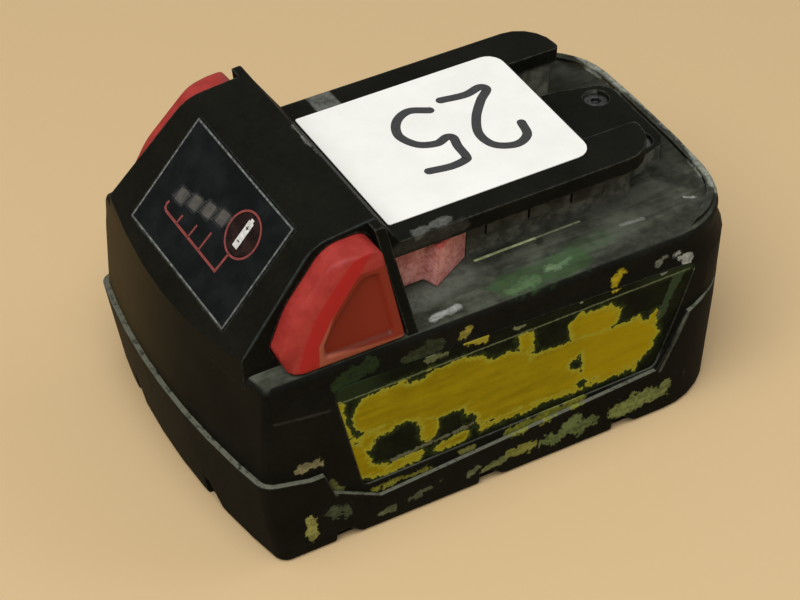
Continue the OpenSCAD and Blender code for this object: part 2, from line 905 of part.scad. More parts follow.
// Latches: the button comes out of its window as a broad rounded wall, and a crest runs round its dished pad
pad_lean = 0.085;
rim_back = 1.9;
brow_back = 0.7;
brow_share = 0.35;
pad_rise = 0.4;
pad_h = 25.5;
pad_foot = button_foot + pad_rise;
pad_top = deck_z + pad_h;
pad_toe = 9.6;
pad_back = 0.5;
pad_brow = [6.4, -1.5, 5];
pad_cheek = [14.6, 8.3, 18];
pad_nose = [11.2, 0.3, 3];
crest = 0.4;
crest_rise = 0.8;
crest_h = 21.4;
crest_foot = pad_foot + crest_rise;
crest_top = deck_z + crest_h;
crest_toe = 14.6;
crest_back = 1.3;
crest_brow = [7, -5.2, 4];
crest_cheek = [17.6, 7.1, 12];
crest_nose = [14.4, 1.3, 4];
dish_edge = 0.4;
dish_run = 1.4;
dish_d = 1;
function pad_x(z) = pad_reach - (z - deck_z) * pad_lean;
pad_outline = [
    [gauge_foot.x + pad_toe, pad_foot, 1],
    [fin_front(pad_foot) - latch_gap - pad_back, pad_foot, 0.8],
    [fin_front(pad_top) - latch_gap - pad_back, pad_top, 2],
    [crease.x + pad_brow.x, crease.y + pad_brow.y, pad_brow.z],
    [gauge_foot.x + pad_cheek.x, gauge_foot.y + pad_cheek.y, pad_cheek.z],
    [gauge_foot.x + pad_nose.x, gauge_foot.y + pad_nose.y, pad_nose.z]
];
crest_outline = [
    [gauge_foot.x + crest_toe, crest_foot, 2.4],
    [fin_front(crest_foot) - latch_gap - crest_back, crest_foot, 2.4],
    [fin_front(crest_top) - latch_gap - crest_back, crest_top, 2.4],
    [crease.x + crest_brow.x, crease.y + crest_brow.y, crest_brow.z],
    [gauge_foot.x + crest_cheek.x, gauge_foot.y + crest_cheek.y, crest_cheek.z],
    [gauge_foot.x + crest_nose.x, gauge_foot.y + crest_nose.y, crest_nose.z]
];

module latch_button() {
    edge = rounded(button_outline);
    pad = rounded(pad_outline);
    brow = (1 - brow_share) * edge + brow_share * pad;
    top = rounded(crest_outline);
    dish = rounded(grown(crest_outline, -dish_edge));
    dish_floor = rounded(grown(crest_outline, -dish_edge - dish_run));
    difference() {
        skin([
            [for (p = edge) [button_inner, p.x, p.y]],
            [for (p = edge) [pad_x(p.y) - crest - rim_back, p.x, p.y]],
            [for (p = brow) [pad_x(p.y) - crest - brow_back, p.x, p.y]],
            [for (p = pad) [pad_x(p.y) - crest, p.x, p.y]],
            [for (p = top) [pad_x(p.y), p.x, p.y]]
        ]);
        skin([
            [for (p = dish_floor) [pad_x(p.y) - dish_d, p.x, p.y]],
            [for (p = dish) [pad_x(p.y) + cut, p.x, p.y]]
        ]);
    }
}

module latch() {
    color(red) {
        latch_button();
        // Arm past the fin, and the hook with its lead-in ramp
        translate([0, 0, button_foot])
            linear_extrude(hook_top - button_foot)
                polygon([
                    [stop_outer, arm_root_y],
                    [arm_outer, arm_root_y],
                    [arm_outer, hook_y - hook_rise],
                    [neck_w / 2 + hook_reach, hook_y],
                    [neck_w / 2 + slip, hook_end],
                    [stop_outer, hook_end]
                ]);
        // Stop plate inside the rail's neck
        box(
            [stop_outer - stop_t, arm_root_y, button_foot],
            [stop_outer, hook_end + stop_l, hook_top]);
        translate([button_inner - boss_l, spring_at.x, spring_at.y])
            rotate([0, 90, 0])
                cylinder(r = boss_r, h = boss_l + cut);
    }
}

module release_latch_right() { latch(); }
module release_latch_left() { mirror([1, 0, 0]) latch(); }

// Helix from the rib to the inner face of the button
spring_from = rib_half + slip + spring_wire / 2;
spring_to = button_inner - slip - spring_wire / 2;
spring_pitch = (spring_to - spring_from) / spring_turns;
spring_rings = 10;
spring_sides = 6;
echo(spring_gap = spring_pitch - spring_wire);

module latch_spring() {
    r = (spring_d - spring_wire) / 2;
    color(steel)
        translate([0, spring_at.x, spring_at.y])
            skin([for (i = [0 : spring_turns * spring_rings])
                let (a = 360 * i / spring_rings, x = spring_from + spring_pitch * i / spring_rings)
                [for (j = [0 : spring_sides - 1])
                    let (b = -360 * j / spring_sides, q = r + spring_wire / 2 * cos(b))
                    [x + spring_wire / 2 * sin(b), q * cos(a), q * sin(a)]]]);
}

module latch_spring_right() { latch_spring(); }
module latch_spring_left() { mirror([1, 0, 0]) latch_spring(); }

// Cells and carriers. A cell's can is rolled in at a groove under its end cap
cap_h = 0.7;
cap_r = 4;
can_edge = 0.5;
groove_at = 2.4;
groove_h = 1.5;
groove_d = 0.7;

module cell(n) {
    column = (n - 1) % columns;
    layer = floor((n - 1) / columns);
    r = cell_d / 2;
    can = cell_l - cap_h;
    color("#3f7f8c")
        translate([0, cell_y(column), cell_level(layer)])
            rotate([0, column % 2 == 0 ? 90 : -90, 0])
                translate([0, 0, -cell_l / 2])
                    rotate_extrude()
                        polygon([
                            [0, 0],
                            [r - can_edge, 0],
                            [r, can_edge],
                            [r, can - groove_at - groove_h / 2],
                            [r - groove_d, can - groove_at],
                            [r, can - groove_at + groove_h / 2],
                            [r, can - can_edge],
                            [r - can_edge, can],
                            [cap_r, can],
                            [cap_r, cell_l],
                            [0, cell_l]
                        ]);
}

carrier_setback = 1;
carrier_end = cell_l / 2 - carrier_setback;

module cell_carrier() {
    color(carrier_grey)
        difference() {
            box(
                [carrier_end - carrier_w, cells_front - carrier_lip, floor_z],
                [carrier_end, cells_rear + carrier_lip, carrier_top]);
            for (column = [0 : columns - 1], layer = [0 : 1])
                translate([carrier_end - carrier_w - cut, cell_y(column), cell_level(layer)])
                    rotate([0, 90, 0])
                        cylinder(r = cell_d / 2 + cell_gap, h = carrier_w + 2 * cut);
        }
}

module cell_carrier_right() { cell_carrier(); }
module cell_carrier_left() { mirror([1, 0, 0]) cell_carrier(); }

// Straps join pairs of cells in five groups, in series from one side to the other
strap_w = 11;
strap_over = 5;
strap_r = 2;
tab_w = 4;
weld_slot = [0.8, 6];
right_straps = [[0, 1], [2, 3], [4, 4]];
left_straps = [[0, 0], [1, 2], [3, 4]];

// span is the first and last column that the strap joins
module strap(side, span) {
    y0 = cell_y(span[0]) - strap_w / 2;
    y1 = cell_y(span[1]) + strap_w / 2;
    z0 = cell_level(0) - strap_over;
    z1 = cell_level(1) + strap_over;
    color(nickel)
        translate([side * (cell_l / 2 + strap_t / 2), 0, 0])
            difference() {
                union() {
                    across(strap_t)
                        polygon(rounded([
                            [y0, z0, strap_r],
                            [y1, z0, strap_r],
                            [y1, z1, strap_r],
                            [y0, z1, strap_r]
                        ]));
                    // Tab up to the main board
                    translate([0, cell_y(span[0]), (cell_level(1) + board_top) / 2])
                        cube([strap_t, tab_w, board_top - cell_level(1)], center = true);
                }
                // Weld slots over each cell
                for (column = [span[0] : span[1]], layer = [0 : 1])
                    translate([0, cell_y(column), cell_level(layer)])
                        cube([strap_t + cut, weld_slot.x, weld_slot.y], center = true);
            }
}

// Main board and terminals
holder_margin = 2.5;
holder_gap = 0.3;
holder_back = 2;
holder_w = (contacts - 1) * contact_pitch + 2 * holder_margin;
holder_top = rail_top - rail_wall - holder_gap;
holder_rear = terminal_wall - holder_gap;
holder_front = holder_rear - holder_l;
contact_w = 2 * contact_t + contact_gap;
contact_foot = board_top + 3;
contact_top = holder_top - 3;
contact_deep = holder_front + holder_back;
contact_back = 3;
function contact_x(n) = (n - (contacts + 1) / 2) * contact_pitch;

module main_board() {
    color(board_green)
        box(
            [-cell_l / 2 + slip, cells_front, carrier_top],
            [cell_l / 2 - slip, cells_rear, board_top]);
}

// A row of power transistors, the controller and two capacitors
transistor = [6.4, 9, 2.2];
controller = [12, 12, 1.4];
capacitor = [6, 12, 3];
transistor_pitch = 10;

module board_parts() {
    color(dark) {
        for (i = [-2 : 2])
            translate([i * transistor_pitch - transistor.x / 2, cells_front + cell_d / 2, board_top])
                cube(transistor);
        translate([-controller.x / 2, cells_front + 1.5 * cell_d, board_top])
            cube(controller);
        both_sides()
            translate([cell_l / 3, 0, board_top])
                cube(capacitor);
    }
}

module terminal_holder() {
    color(dark)
        difference() {
            union() {
                box(
                    [-holder_w / 2, holder_front, board_top],
                    [holder_w / 2, terminal_wall - rail_wall - slip, holder_top]);
                // Nose that fills the window in the wall between the arms
                box(
                    [-holder_w / 2, holder_front, deck_z + arm_floor + slip],
                    [holder_w / 2, holder_rear, holder_top]);
            }
            for (n = [1 : contacts])
                translate([contact_x(n), 0, 0])
                    box(
                        [-contact_w / 2 - slip, contact_deep, contact_foot],
                        [contact_w / 2 + slip, holder_rear + cut, contact_top + slip]);
        }
}

// A contact is a strip bent to a U: two leaves that grip the tool's blade, joined at the front
module terminal_contact(n) {
    color("#b98a4a")
        translate([contact_x(n), 0, 0])
            difference() {
                box(
                    [-contact_w / 2, contact_deep, contact_foot],
                    [contact_w / 2, terminal_wall - rail_wall - slip, contact_top]);
                box(
                    [-contact_gap / 2, contact_deep + contact_back, contact_foot - cut],
                    [contact_gap / 2, holder_rear, contact_top + cut]);
            }
}

screw_drive_r = 1.3;
screw_drive_d = 1.2;

module housing_screws() {
    color(steel)
        both_sides()
            translate([post_at.x, post_at.y, screw_seat])
                difference() {
                    union() {
                        cylinder(r = screw_head_r, h = screw_head_h);
                        translate([0, 0, -screw_l])
                            cylinder(r = screw_r, h = screw_l + cut);
                    }
                    translate([0, 0, screw_head_h - screw_drive_d])
                        cylinder(r = screw_drive_r, h = screw_drive_d + cut, $fn = 6);
                }
}

// Labels
module side_label(side) {
    color(label_yellow)
        translate([side * (label_face + label_t / 2), 0, 0])
            across(label_t)
                side_label_outline(0);
}

module side_label_right() { side_label(1); }
module side_label_left() { side_label(-1); }

asset_setback = 0.4;
asset_r = [0.6, 4];

module asset_label() {
    y0 = ramp_foot_y + asset_setback;
    color("white")
        translate([0, 0, rail_top])
            linear_extrude(asset_t)
                polygon(rounded([
                    [-asset_w / 2, y0, asset_r.x],
                    [asset_w / 2, y0, asset_r.x],
                    [asset_w / 2, y0 + asset_l, asset_r.y],
                    [-asset_w / 2, y0 + asset_l, asset_r.y]
                ]));
}

cell_count = 2 * columns;

lower_housing();
upper_housing();
gauge_panel();
gauge_button();
gauge_lenses();
gauge_board();
gauge_lamps();
gauge_switch();
release_latch_right();
release_latch_left();
latch_spring_right();
latch_spring_left();
cell_carrier_right();
cell_carrier_left();
main_board();
board_parts();
terminal_holder();
housing_screws();
side_label_right();
side_label_left();
asset_label();
for (i = [1 : cell_count])
    cell(i);
for (i = [1 : 3]) {
    strap(1, right_straps[i - 1]);
    strap(-1, left_straps[i - 1]);
}
for (i = [1 : contacts])
    terminal_contact(i);
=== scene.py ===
# %% [markdown]
# # A slide-on tool battery, dressed for its picture
# The shapes come from a CAD model that is already packed: 42 solids in millimetres, loaded here in metres.
# This lesson adds what a CAD model lacks: finishes with wear and paint, the print on the charge gauge, a
# hand-written number, real spring wire, a camera and soft light. Nothing here moves or resizes a solid.

# %% Load the solids
import json
import math
from types import SimpleNamespace

import bmesh
import bpy
from mathutils import Matrix, Vector


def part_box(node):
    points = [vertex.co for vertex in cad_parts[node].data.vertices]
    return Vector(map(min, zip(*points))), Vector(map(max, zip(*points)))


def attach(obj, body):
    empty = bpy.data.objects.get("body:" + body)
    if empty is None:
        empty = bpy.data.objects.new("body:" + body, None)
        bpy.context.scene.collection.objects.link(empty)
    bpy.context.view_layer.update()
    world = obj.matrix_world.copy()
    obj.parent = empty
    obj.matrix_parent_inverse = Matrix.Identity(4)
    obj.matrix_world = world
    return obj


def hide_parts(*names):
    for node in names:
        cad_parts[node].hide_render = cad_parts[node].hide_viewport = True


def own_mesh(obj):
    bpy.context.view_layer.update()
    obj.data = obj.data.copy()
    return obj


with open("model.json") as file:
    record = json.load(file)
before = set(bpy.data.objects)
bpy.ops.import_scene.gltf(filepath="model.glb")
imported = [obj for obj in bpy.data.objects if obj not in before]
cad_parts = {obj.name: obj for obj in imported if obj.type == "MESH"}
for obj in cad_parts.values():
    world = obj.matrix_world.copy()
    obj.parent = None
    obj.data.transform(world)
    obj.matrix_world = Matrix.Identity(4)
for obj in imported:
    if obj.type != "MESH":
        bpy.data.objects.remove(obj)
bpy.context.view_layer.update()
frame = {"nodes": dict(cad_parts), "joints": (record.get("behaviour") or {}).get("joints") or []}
solids = frame["nodes"]
MM = 0.001

# %% [markdown]
# The camera stands where the photograph was taken from: in front of the gauge, to the right, looking down at
# about 42 degrees. Its place could be found by eye, but a long lens makes that slow. Here it is written as two
# turns, a roll and a distance round one aimed point, so each value has a plain meaning.

# %% Camera
TURN, RAISE, ROLL = (math.radians(a) for a in (58.06, 41.67, 2.13))
DISTANCE = 0.62417
AIM = Vector((0.00262, -0.00704, 0.02761))
LENS_PIXELS, IMAGE_WIDTH, SENSOR, NEAREST = 2725, 800, 36, 0.01


def toward(turn, raised):
    """The direction from the object to something that stands at this turn and height."""
    return Vector((math.sin(turn) * math.cos(raised), -math.cos(turn) * math.cos(raised), math.sin(raised)))


back = toward(TURN, RAISE)
level = Vector((math.cos(TURN), math.sin(TURN), 0))
upright = back.cross(level)
side = math.cos(ROLL) * level + math.sin(ROLL) * upright
top = math.cos(ROLL) * upright - math.sin(ROLL) * level
camera = bpy.data.objects.new("camera", bpy.data.cameras.new("camera"))
camera.matrix_world = Matrix.Translation(AIM + back * DISTANCE) @ Matrix((side, top, back)).transposed().to_4x4()
camera.data.lens = LENS_PIXELS / IMAGE_WIDTH * SENSOR
camera.data.sensor_width = SENSOR
camera.data.clip_start = NEAREST
bpy.context.scene.collection.objects.link(camera)
bpy.context.scene.camera = camera
print("lens", round(camera.data.lens, 1), "mm at", round(DISTANCE, 3), "m")

# %% [markdown]
# Black plastic shows its shape by what it mirrors, so the light matters more than on a pale object. A panel
# behind would be mirrored by every flat top and turn it grey. The large soft panel stands in front instead,
# high above the lens, so black stays black. A weaker one behind keeps the terminal end readable.

# %% Soft light
def panel_light(name, turn, raised, away, width, power):
    """A square soft light that looks at the object."""
    lamp = bpy.data.objects.new(name, bpy.data.lights.new(name, "AREA"))
    lamp.data.size = width
    lamp.data.energy = power
    lamp.location = AIM + toward(math.radians(turn), math.radians(raised)) * away
    lamp.rotation_euler = (lamp.location - AIM).to_track_quat("Z", "Y").to_euler()
    bpy.context.scene.collection.objects.link(lamp)
    print(name, "at", [round(c, 2) for c in lamp.location], "power", power)


panel_light("panel_front", turn=36, raised=62, away=1.1, width=0.9, power=15.5)
panel_light("panel_rear", turn=165, raised=42, away=1.2, width=0.8, power=2.6)

# %% [markdown]
# One class carries all the shader maths. It wraps a socket, so a sum of masks is written as a sum, and each
# sign adds a Math node. Every other node comes from one method: its type, its settings, then its sockets.

# %% Sums on sockets
class Field:
    """A value that changes over a surface."""

    def __init__(self, tree, socket=None):
        self.tree, self.socket = tree, socket

    def node(self, kind, sets=None, links=None, out=0):
        """A new node: its settings are set first, then its sockets. Gives one of its outputs."""
        made = self.tree.nodes.new(kind)
        for key, value in (sets or {}).items():
            setattr(made, key, value)
        for key, value in (links or {}).items():
            if isinstance(value, Field):
                self.tree.links.new(value.socket, made.inputs[key])
            else:
                made.inputs[key].default_value = value
        return Field(self.tree, made.outputs[out] if made.outputs else None)

    def also(self, out):
        """Another output of the same node."""
        return Field(self.tree, self.socket.node.outputs[out])

    def math(self, operation, *values):
        return self.node("ShaderNodeMath", {"operation": operation}, dict(enumerate(values)))

    def vector(self, operation, other, out=0):
        return self.node("ShaderNodeVectorMath", {"operation": operation}, {0: self, 1: other}, out)

    def __add__(self, other):
        return self.math("ADD", self, other)

    def __sub__(self, other):
        return self.math("SUBTRACT", self, other)

    def __rsub__(self, other):
        return self.math("SUBTRACT", other, self)

    def __mul__(self, other):
        return self.math("MULTIPLY", self, other)

    def __and__(self, other):
        return self.math("MINIMUM", self, other)

    def __or__(self, other):
        return self.math("MAXIMUM", self, other)

    def __abs__(self):
        return self.math("ABSOLUTE", self)

    __radd__, __rmul__, __rand__, __ror__ = __add__, __mul__, __and__, __or__


print("reflected signs:", [k for k in vars(Field) if k.startswith("__r") and k != "__repr__"])

# %% [markdown]
# The floor is a plain pale sheet with a warm tone, because the front wall of the battery takes its brown cast
# from what it stands on. It lies a hair under the feet, so that the two never share one plane. A picture of a
# studio could light the scene, but an even dim world is enough here. The lens, bare metal and clear plastic
# see that world paler than it shines, so that the background is pale and the light on the object stays soft.

# %% Floor
FLOOR_TONE, FLOOR_ROUGH = (0.53, 0.38, 0.2, 1), 0.7
HALF_FLOOR, UNDER_FEET = 1.5, -0.05 * MM
corners = [(a * HALF_FLOOR, b * HALF_FLOOR, UNDER_FEET) for a, b in ((-1, -1), (1, -1), (1, 1), (-1, 1))]
sheet = bpy.data.meshes.new("floor")
sheet.from_pydata(corners, [], [(0, 1, 2, 3)])
floor = bpy.data.objects.new("floor", sheet)
bpy.context.scene.collection.objects.link(floor)
pale = bpy.data.materials.new("floor")
pale.use_nodes = True
paint = pale.node_tree.nodes["Principled BSDF"].inputs
paint["Base Color"].default_value = FLOOR_TONE
paint["Roughness"].default_value = FLOOR_ROUGH
sheet.materials.append(pale)
print("floor tone", FLOOR_TONE[:3])

# %% World
WORLD_LIGHT, WORLD_SEEN, WORLD_TONE = 0.26, 0.7, (1, 0.97, 0.92, 1)
world = bpy.data.worlds.new("studio")
bpy.context.scene.world = world
world.use_nodes = True
rays = Field(world.node_tree).node("ShaderNodeLightPath", out="Is Camera Ray")
seen = rays | rays.also("Is Glossy Ray") | rays.also("Is Transmission Ray")
glow = world.node_tree.nodes["Background"]
glow.inputs["Color"].default_value = WORLD_TONE
world.node_tree.links.new((WORLD_LIGHT + seen * (WORLD_SEEN - WORLD_LIGHT)).socket, glow.inputs["Strength"])
bpy.context.scene.view_settings.view_transform = "Standard"
print("the world shines at", WORLD_LIGHT, "and is seen at", WORLD_SEEN)

# %% [markdown]
# The solids arrive as loose triangles. Smoothing them by hand would change their meshes, which belong to the
# CAD model. A modifier does it without that: it welds the triangles, shades round walls smooth and keeps every
# edge over 30 degrees sharp. A second one lets wide flat faces set the shading, so thin triangles don't show.

# %% Smooth shading for every solid
SHARP_FROM, WELD_WITHIN = math.radians(30), 0.002 * MM
weld = bpy.data.node_groups.new("weld_and_shade", "GeometryNodeTree")
for way in ("INPUT", "OUTPUT"):
    weld.interface.new_socket("Geometry", in_out=way, socket_type="NodeSocketGeometry")
shape = Field(weld)
loose = shape.node("NodeGroupInput")
welded = shape.node("GeometryNodeMergeByDistance", links={"Geometry": loose, "Distance": WELD_WITHIN})
plain = shape.node("GeometryNodeRemoveAttribute", links={"Geometry": welded, "Name": "custom_normal"})
smooth = shape.node("GeometryNodeSetShadeSmooth", {"domain": "FACE"},
                    {"Geometry": plain, "Shade Smooth": True})
bend = shape.node("GeometryNodeInputMeshEdgeAngle")
sharp = shape.node("FunctionNodeCompare", {"operation": "GREATER_THAN"}, {0: bend, 1: SHARP_FROM})
edged = shape.node("GeometryNodeSetShadeSmooth", {"domain": "EDGE"},
                   {"Geometry": smooth, "Selection": sharp, "Shade Smooth": False})
shape.node("NodeGroupOutput", links={"Geometry": edged})
for solid in solids.values():
    solid.modifiers.new("weld", "NODES").node_group = weld
    flats = solid.modifiers.new("flats", "WEIGHTED_NORMAL")
    flats.keep_sharp = True
print("shaded", len(solids), "solids")

# %% [markdown]
# A finish is built from masks: where on the part a point lies, which way it looks, and noise. Places are in
# millimetres, as in the CAD model, so a scuff is put where it was measured. An image could carry the marks
# too, but masks stay sharp at any size and need no unwrapping.

# %% Tools for masks
def shade(*seen):
    """A colour as it looks on screen, from 0 to 255, in the linear form that shaders take."""
    parts = [c / 255 for c in seen]
    return tuple(c / 12.92 if c <= 0.04045 else ((c + 0.055) / 1.055) ** 2.4 for c in parts) + (1,)


def surface(name):
    """A new finish, with the fields that its masks are made of."""
    made = bpy.data.materials.new(name)
    made.use_nodes = True
    base = Field(made.node_tree)
    place = base.node("ShaderNodeTexCoord", out="Object").vector("MULTIPLY", (1 / MM,) * 3)
    x = base.node("ShaderNodeSeparateXYZ", links={0: place})
    facing = base.node("ShaderNodeNewGeometry", out="Normal")
    nx = base.node("ShaderNodeSeparateXYZ", links={0: facing})
    return SimpleNamespace(made=made, base=base, place=place, x=x, y=x.also(1), z=x.also(2),
                           nx=nx, ny=nx.also(1), nz=nx.also(2))


def noise(s, size, detail=2.0, stretch=(1, 1, 1), shift=0.0):
    """Cloudy values round 0.5, in spots of about this size in millimetres."""
    spots = s.base.node("ShaderNodeVectorMath", {"operation": "MULTIPLY_ADD"},
                        {0: s.place, 1: [k / size for k in stretch], 2: (shift, shift, shift)})
    return s.base.node("ShaderNodeTexNoise",
                       links={"Vector": spots, "Scale": 1, "Detail": detail, "Roughness": 0.6})


def rise(value, low, high):
    """0 below low, 1 above high, and a smooth step between. It falls where low is the higher of the two."""
    return value.node("ShaderNodeMapRange", {"interpolation_type": "SMOOTHSTEP"},
                      {"Value": value, "From Min": low, "From Max": high})


print("mid grey is", [round(c, 3) for c in shade(128, 128, 128)])

# %% [markdown]
# A scuff or a brush stroke has a start, an end and a width. Its mask is the distance to the line between its
# ends, less half its width: under zero inside the stroke, over zero outside. Thin pieces of mesh could be laid
# on the part instead, but each would have to be bent round every edge that its stroke crosses.

# %% Strokes and layers
def near(s, a, b):
    """How far a point of the surface is from the line between two points."""
    run = Vector(b) - Vector(a)
    gone = s.place.vector("SUBTRACT", a)
    along = gone.vector("DOT_PRODUCT", run / max(run.length_squared, 1e-6), "Value")
    share = s.base.node("ShaderNodeClamp", links={"Value": along})
    foot = s.base.node("ShaderNodeVectorMath", {"operation": "SCALE"}, {0: run, "Scale": share})
    return gone.vector("DISTANCE", foot, "Value")


def strokes(s, lines):
    """How far outside a group of strokes a point lies. A stroke is two ends and half its width."""
    apart = [near(s, a, b) - half for a, b, half in lines]
    nearest = apart[0]
    for other in apart[1:]:
        nearest = nearest & other
    return nearest


def over(under, above, share):
    """One colour laid over another."""
    return share.node("ShaderNodeMix", {"data_type": "RGBA"}, {0: share, 6: under, 7: above}, 2)


print("strokes and layers are ready")

# %% [markdown]
# No moulded edge is knife sharp. Bevelling the solids would do it, but cut triangles bevel badly. A Bevel
# node bends the shading round each edge instead. The last step of every finish puts that under its bump and
# hands the material to its solids.

# %% Closing a finish
EDGE_ROUND = 0.4 * MM


def close(s, colour, rough, names, bump=None, depth=0.05, round_off=EDGE_ROUND, **other):
    """Links a finish to its shader and puts it on the solids that are named."""
    skin = s.made.node_tree.nodes["Principled BSDF"]
    normal = s.base.node("ShaderNodeBevel", {"samples": 4}, {"Radius": round_off}) if round_off else None
    if bump:
        links = {"Height": bump, "Distance": depth * MM, "Strength": 1.0}
        normal = s.base.node("ShaderNodeBump", links={**links, **({"Normal": normal} if normal else {})})
    inputs = {"Base Color": colour, "Roughness": rough, "Normal": normal, **other}
    for key, value in inputs.items():
        if isinstance(value, Field):
            s.made.node_tree.links.new(value.socket, skin.inputs[key])
        elif value is not None:
            skin.inputs[key].default_value = value
    for name in names:
        solids[name].data.materials.clear()
        solids[name].data.materials.append(s.made)
    print(s.made.name, "on", len(names), "solids,", len(s.made.node_tree.nodes), "nodes")


def worn_edges(s, reach=0.8):
    """High along outward edges, where handling polishes and chips the plastic."""
    sheltered = s.base.node("ShaderNodeAmbientOcclusion", {"inside": True, "only_local": True, "samples": 6},
                            {"Distance": reach * MM}, "AO")
    return 1 - sheltered


print("edges look rounded by", round(EDGE_ROUND / MM, 2), "mm")

# %% [markdown]
# Both housings are moulded from black nylon with glass fibre: a fine eroded grain, a satin sheen, grey rub
# marks along the slide direction, and pale worn edges. A scan of such a wall would hold all of this at one
# size only. Noise at four sizes holds it at any. One function makes that ground, and each housing then lays
# its own marks over it.

# %% Black moulded nylon
BLACK, SOFT_BLACK = shade(11, 11, 8), shade(22, 22, 17)
DUST_DARK, DUST, WORN = shade(42, 43, 36), shade(80, 83, 72), shade(92, 96, 86)
NYLON_SHEEN = {"Specular IOR Level": 0.03}


def nylon(name):
    """The ground of a housing: its fields, colour and roughness."""
    s = surface(name)
    s.cloud = noise(s, 14, 4)
    s.fleck = noise(s, 1.3, 4, shift=7.3)
    s.blot = noise(s, 3.6, 5, shift=1.7)
    s.rub = noise(s, 1.6, 5, (1, 0.1, 1), 3.1)
    s.grain = noise(s, 0.32, 2)
    s.edge = worn_edges(s)
    s.colour = over(BLACK, SOFT_BLACK, rise(s.cloud * 0.6 + s.fleck * 0.4, 0.3, 0.75))
    s.rough = 0.58 + (s.fleck - 0.5) * 0.16
    return s


print("nylon runs from", [round(c, 4) for c in BLACK[:3]], "to", [round(c, 4) for c in SOFT_BLACK[:3]])

# %% [markdown]
# On the upper housing, dust lies where the slide of a tool doesn't wipe it off: on the deck beside the rail and
# on the neck under its flange, where it is painted paler still to lift the shade under the flange. The front
# wall gets a painted brown reflection of the floor on its far half. Each zone could be cut out as a material of
# its own, with a hard rim. A mask from place and direction fades out instead, as dust does.

# %% Dust, and painted light, on the upper housing
DECK_Z, NECK_SIDE, FLANGE_UNDER = 52, 21, 64
NECK_DUST_AND_LIGHT, PAINTED_FLOOR_REFLECTION = shade(104, 105, 94), shade(78, 66, 41)
upper = nylon("upper_nylon")
deck = rise(upper.nz, 0.8, 0.97) * rise(upper.z, DECK_Z + 3, DECK_Z + 1.5)
near_deck = deck * rise(upper.x, 15, 19)
streak = rise(upper.rub * 0.6 + upper.blot * 0.5 + (upper.cloud - 0.5) * 0.8, 0.34, 0.8)
upper.colour = over(upper.colour, over(DUST_DARK, DUST, streak), deck * 0.5 + near_deck * 0.4)
# dust on the neck sides, painted paler than the dust itself to lift the shade under the rail's flange
neck = rise(abs(upper.nx), 0.7, 0.9) * rise(abs(upper.x), NECK_SIDE + 1, NECK_SIDE)
neck = neck * rise(upper.z, FLANGE_UNDER + 2, FLANGE_UNDER) * rise(upper.z, DECK_Z - 0.5, DECK_Z + 0.5)
patchy = (0.35 + rise(upper.blot, 0.4, 0.65) * 0.5) * rise(upper.y, -30, -24)
upper.colour = over(upper.colour, NECK_DUST_AND_LIGHT, neck * patchy)
# painted reflection: the front wall's far half is tinted brown where it would mirror the floor
reflecting_front_wall = rise(upper.ny, -0.75, -0.95) * rise(upper.z, DECK_Z + 6, DECK_Z)
upper.colour = over(upper.colour, PAINTED_FLOOR_REFLECTION, reflecting_front_wall * rise(upper.x, 15, -40) * 0.6)
worn = rise(upper.edge + (upper.fleck - 0.5) * 0.7, 0.32, 0.64)
upper.colour = over(upper.colour, WORN, worn * 0.45)
print("deck, front wall and edges are masked")

# %% [markdown]
# Years of use left marks at places that can be measured: a green paint rub and a pale line on the deck, and
# scuffs by the latch and along the rear rim. They could be painted on an unwrapped image. Here each is a row of
# a table, so that a mark is moved by changing two numbers. Its rim is torn by noise.

# %% Marks on the deck
def mark(s, lines, ragged, colour, share=1.0, soft=0.25, bare=0.55):
    """Lays one colour over a finish, inside strokes with a torn rim. Part of it can be worn bare again."""
    apart = strokes(s, lines) + (s.blot - 0.5) * ragged + (s.fleck - 0.5) * ragged * 0.7
    kept = 1 - bare + rise(s.fleck * 0.55 + s.rub * 0.45, 0.38, 0.6) * bare
    s.colour = over(s.colour, colour, rise(apart, soft, -soft) * kept * share)


DECK_MARKS = [
    # from x, y; to x, y; half width; torn rim; colour; share; soft rim
    (28, -21, 25, -5, 3.0, 5.0, (96, 99, 90), 0.7, 1.6),
    (21, 32, 20, 49.5, 2.6, 4.0, (72, 74, 65), 0.75, 0.8),
    (35, 33, 33, 58, 3.4, 4.0, (28, 29, 23), 0.65, 1.8),
    (17, 52.5, 23, 57, 2.6, 2.0, (24, 24, 19), 0.7, 0.8),
    (33.4, 1, 33, 19.5, 3.5, 5.0, (50, 72, 42), 0.88, 0.8),
    (35, 1, 34, 8, 1.3, 5.0, (82, 106, 72), 0.75, 0.5),
    (33, 12, 32, 18, 0.8, 5.0, (104, 126, 94), 0.8, 0.5),
    (31, 16, 29.5, 29, 2.6, 4.0, (64, 84, 58), 0.45, 1.4),
    (28.6, 2, 28.8, 18, 0.5, 1.8, (36, 42, 34), 0.7, 0.4),
    (22.6, -0.5, 22.5, 15, 0.34, 0.3, (186, 192, 140), 0.95, 0.15),
    (22.5, 15, 22.4, 27, 0.28, 0.3, (150, 156, 120), 0.6, 0.15),
    (24, 15.3, 23.6, 16, 0.7, 1.2, (34, 36, 30), 0.8, 0.25),
    (34.6, -18.5, 33.6, -12, 0.9, 2.2, (150, 152, 146), 0.9, 0.4),
    (28, 34.6, 28.4, 40, 0.5, 1.6, (124, 126, 118), 0.7, 0.3),
    (-31, 60.6, -4, 64.2, 1.7, 2.4, (138, 140, 128), 0.9, 0.4),
    (-4, 64.2, 13, 63.8, 1.7, 2.4, (138, 140, 128), 0.9, 0.4),
    (13, 63.8, 27.5, 61, 1.8, 2.6, (138, 140, 128), 0.9, 0.4),
    (26.6, 52.6, 28, 55, 0.4, 3.0, (150, 152, 148), 0.9, 0.25),
]
for x0, y0, x1, y1, half, ragged, colour, share, soft in DECK_MARKS:
    mark(upper, [((x0, y0, DECK_Z), (x1, y1, DECK_Z), half)], ragged, shade(*colour), share, soft)
print(len(DECK_MARKS), "marks on the deck")
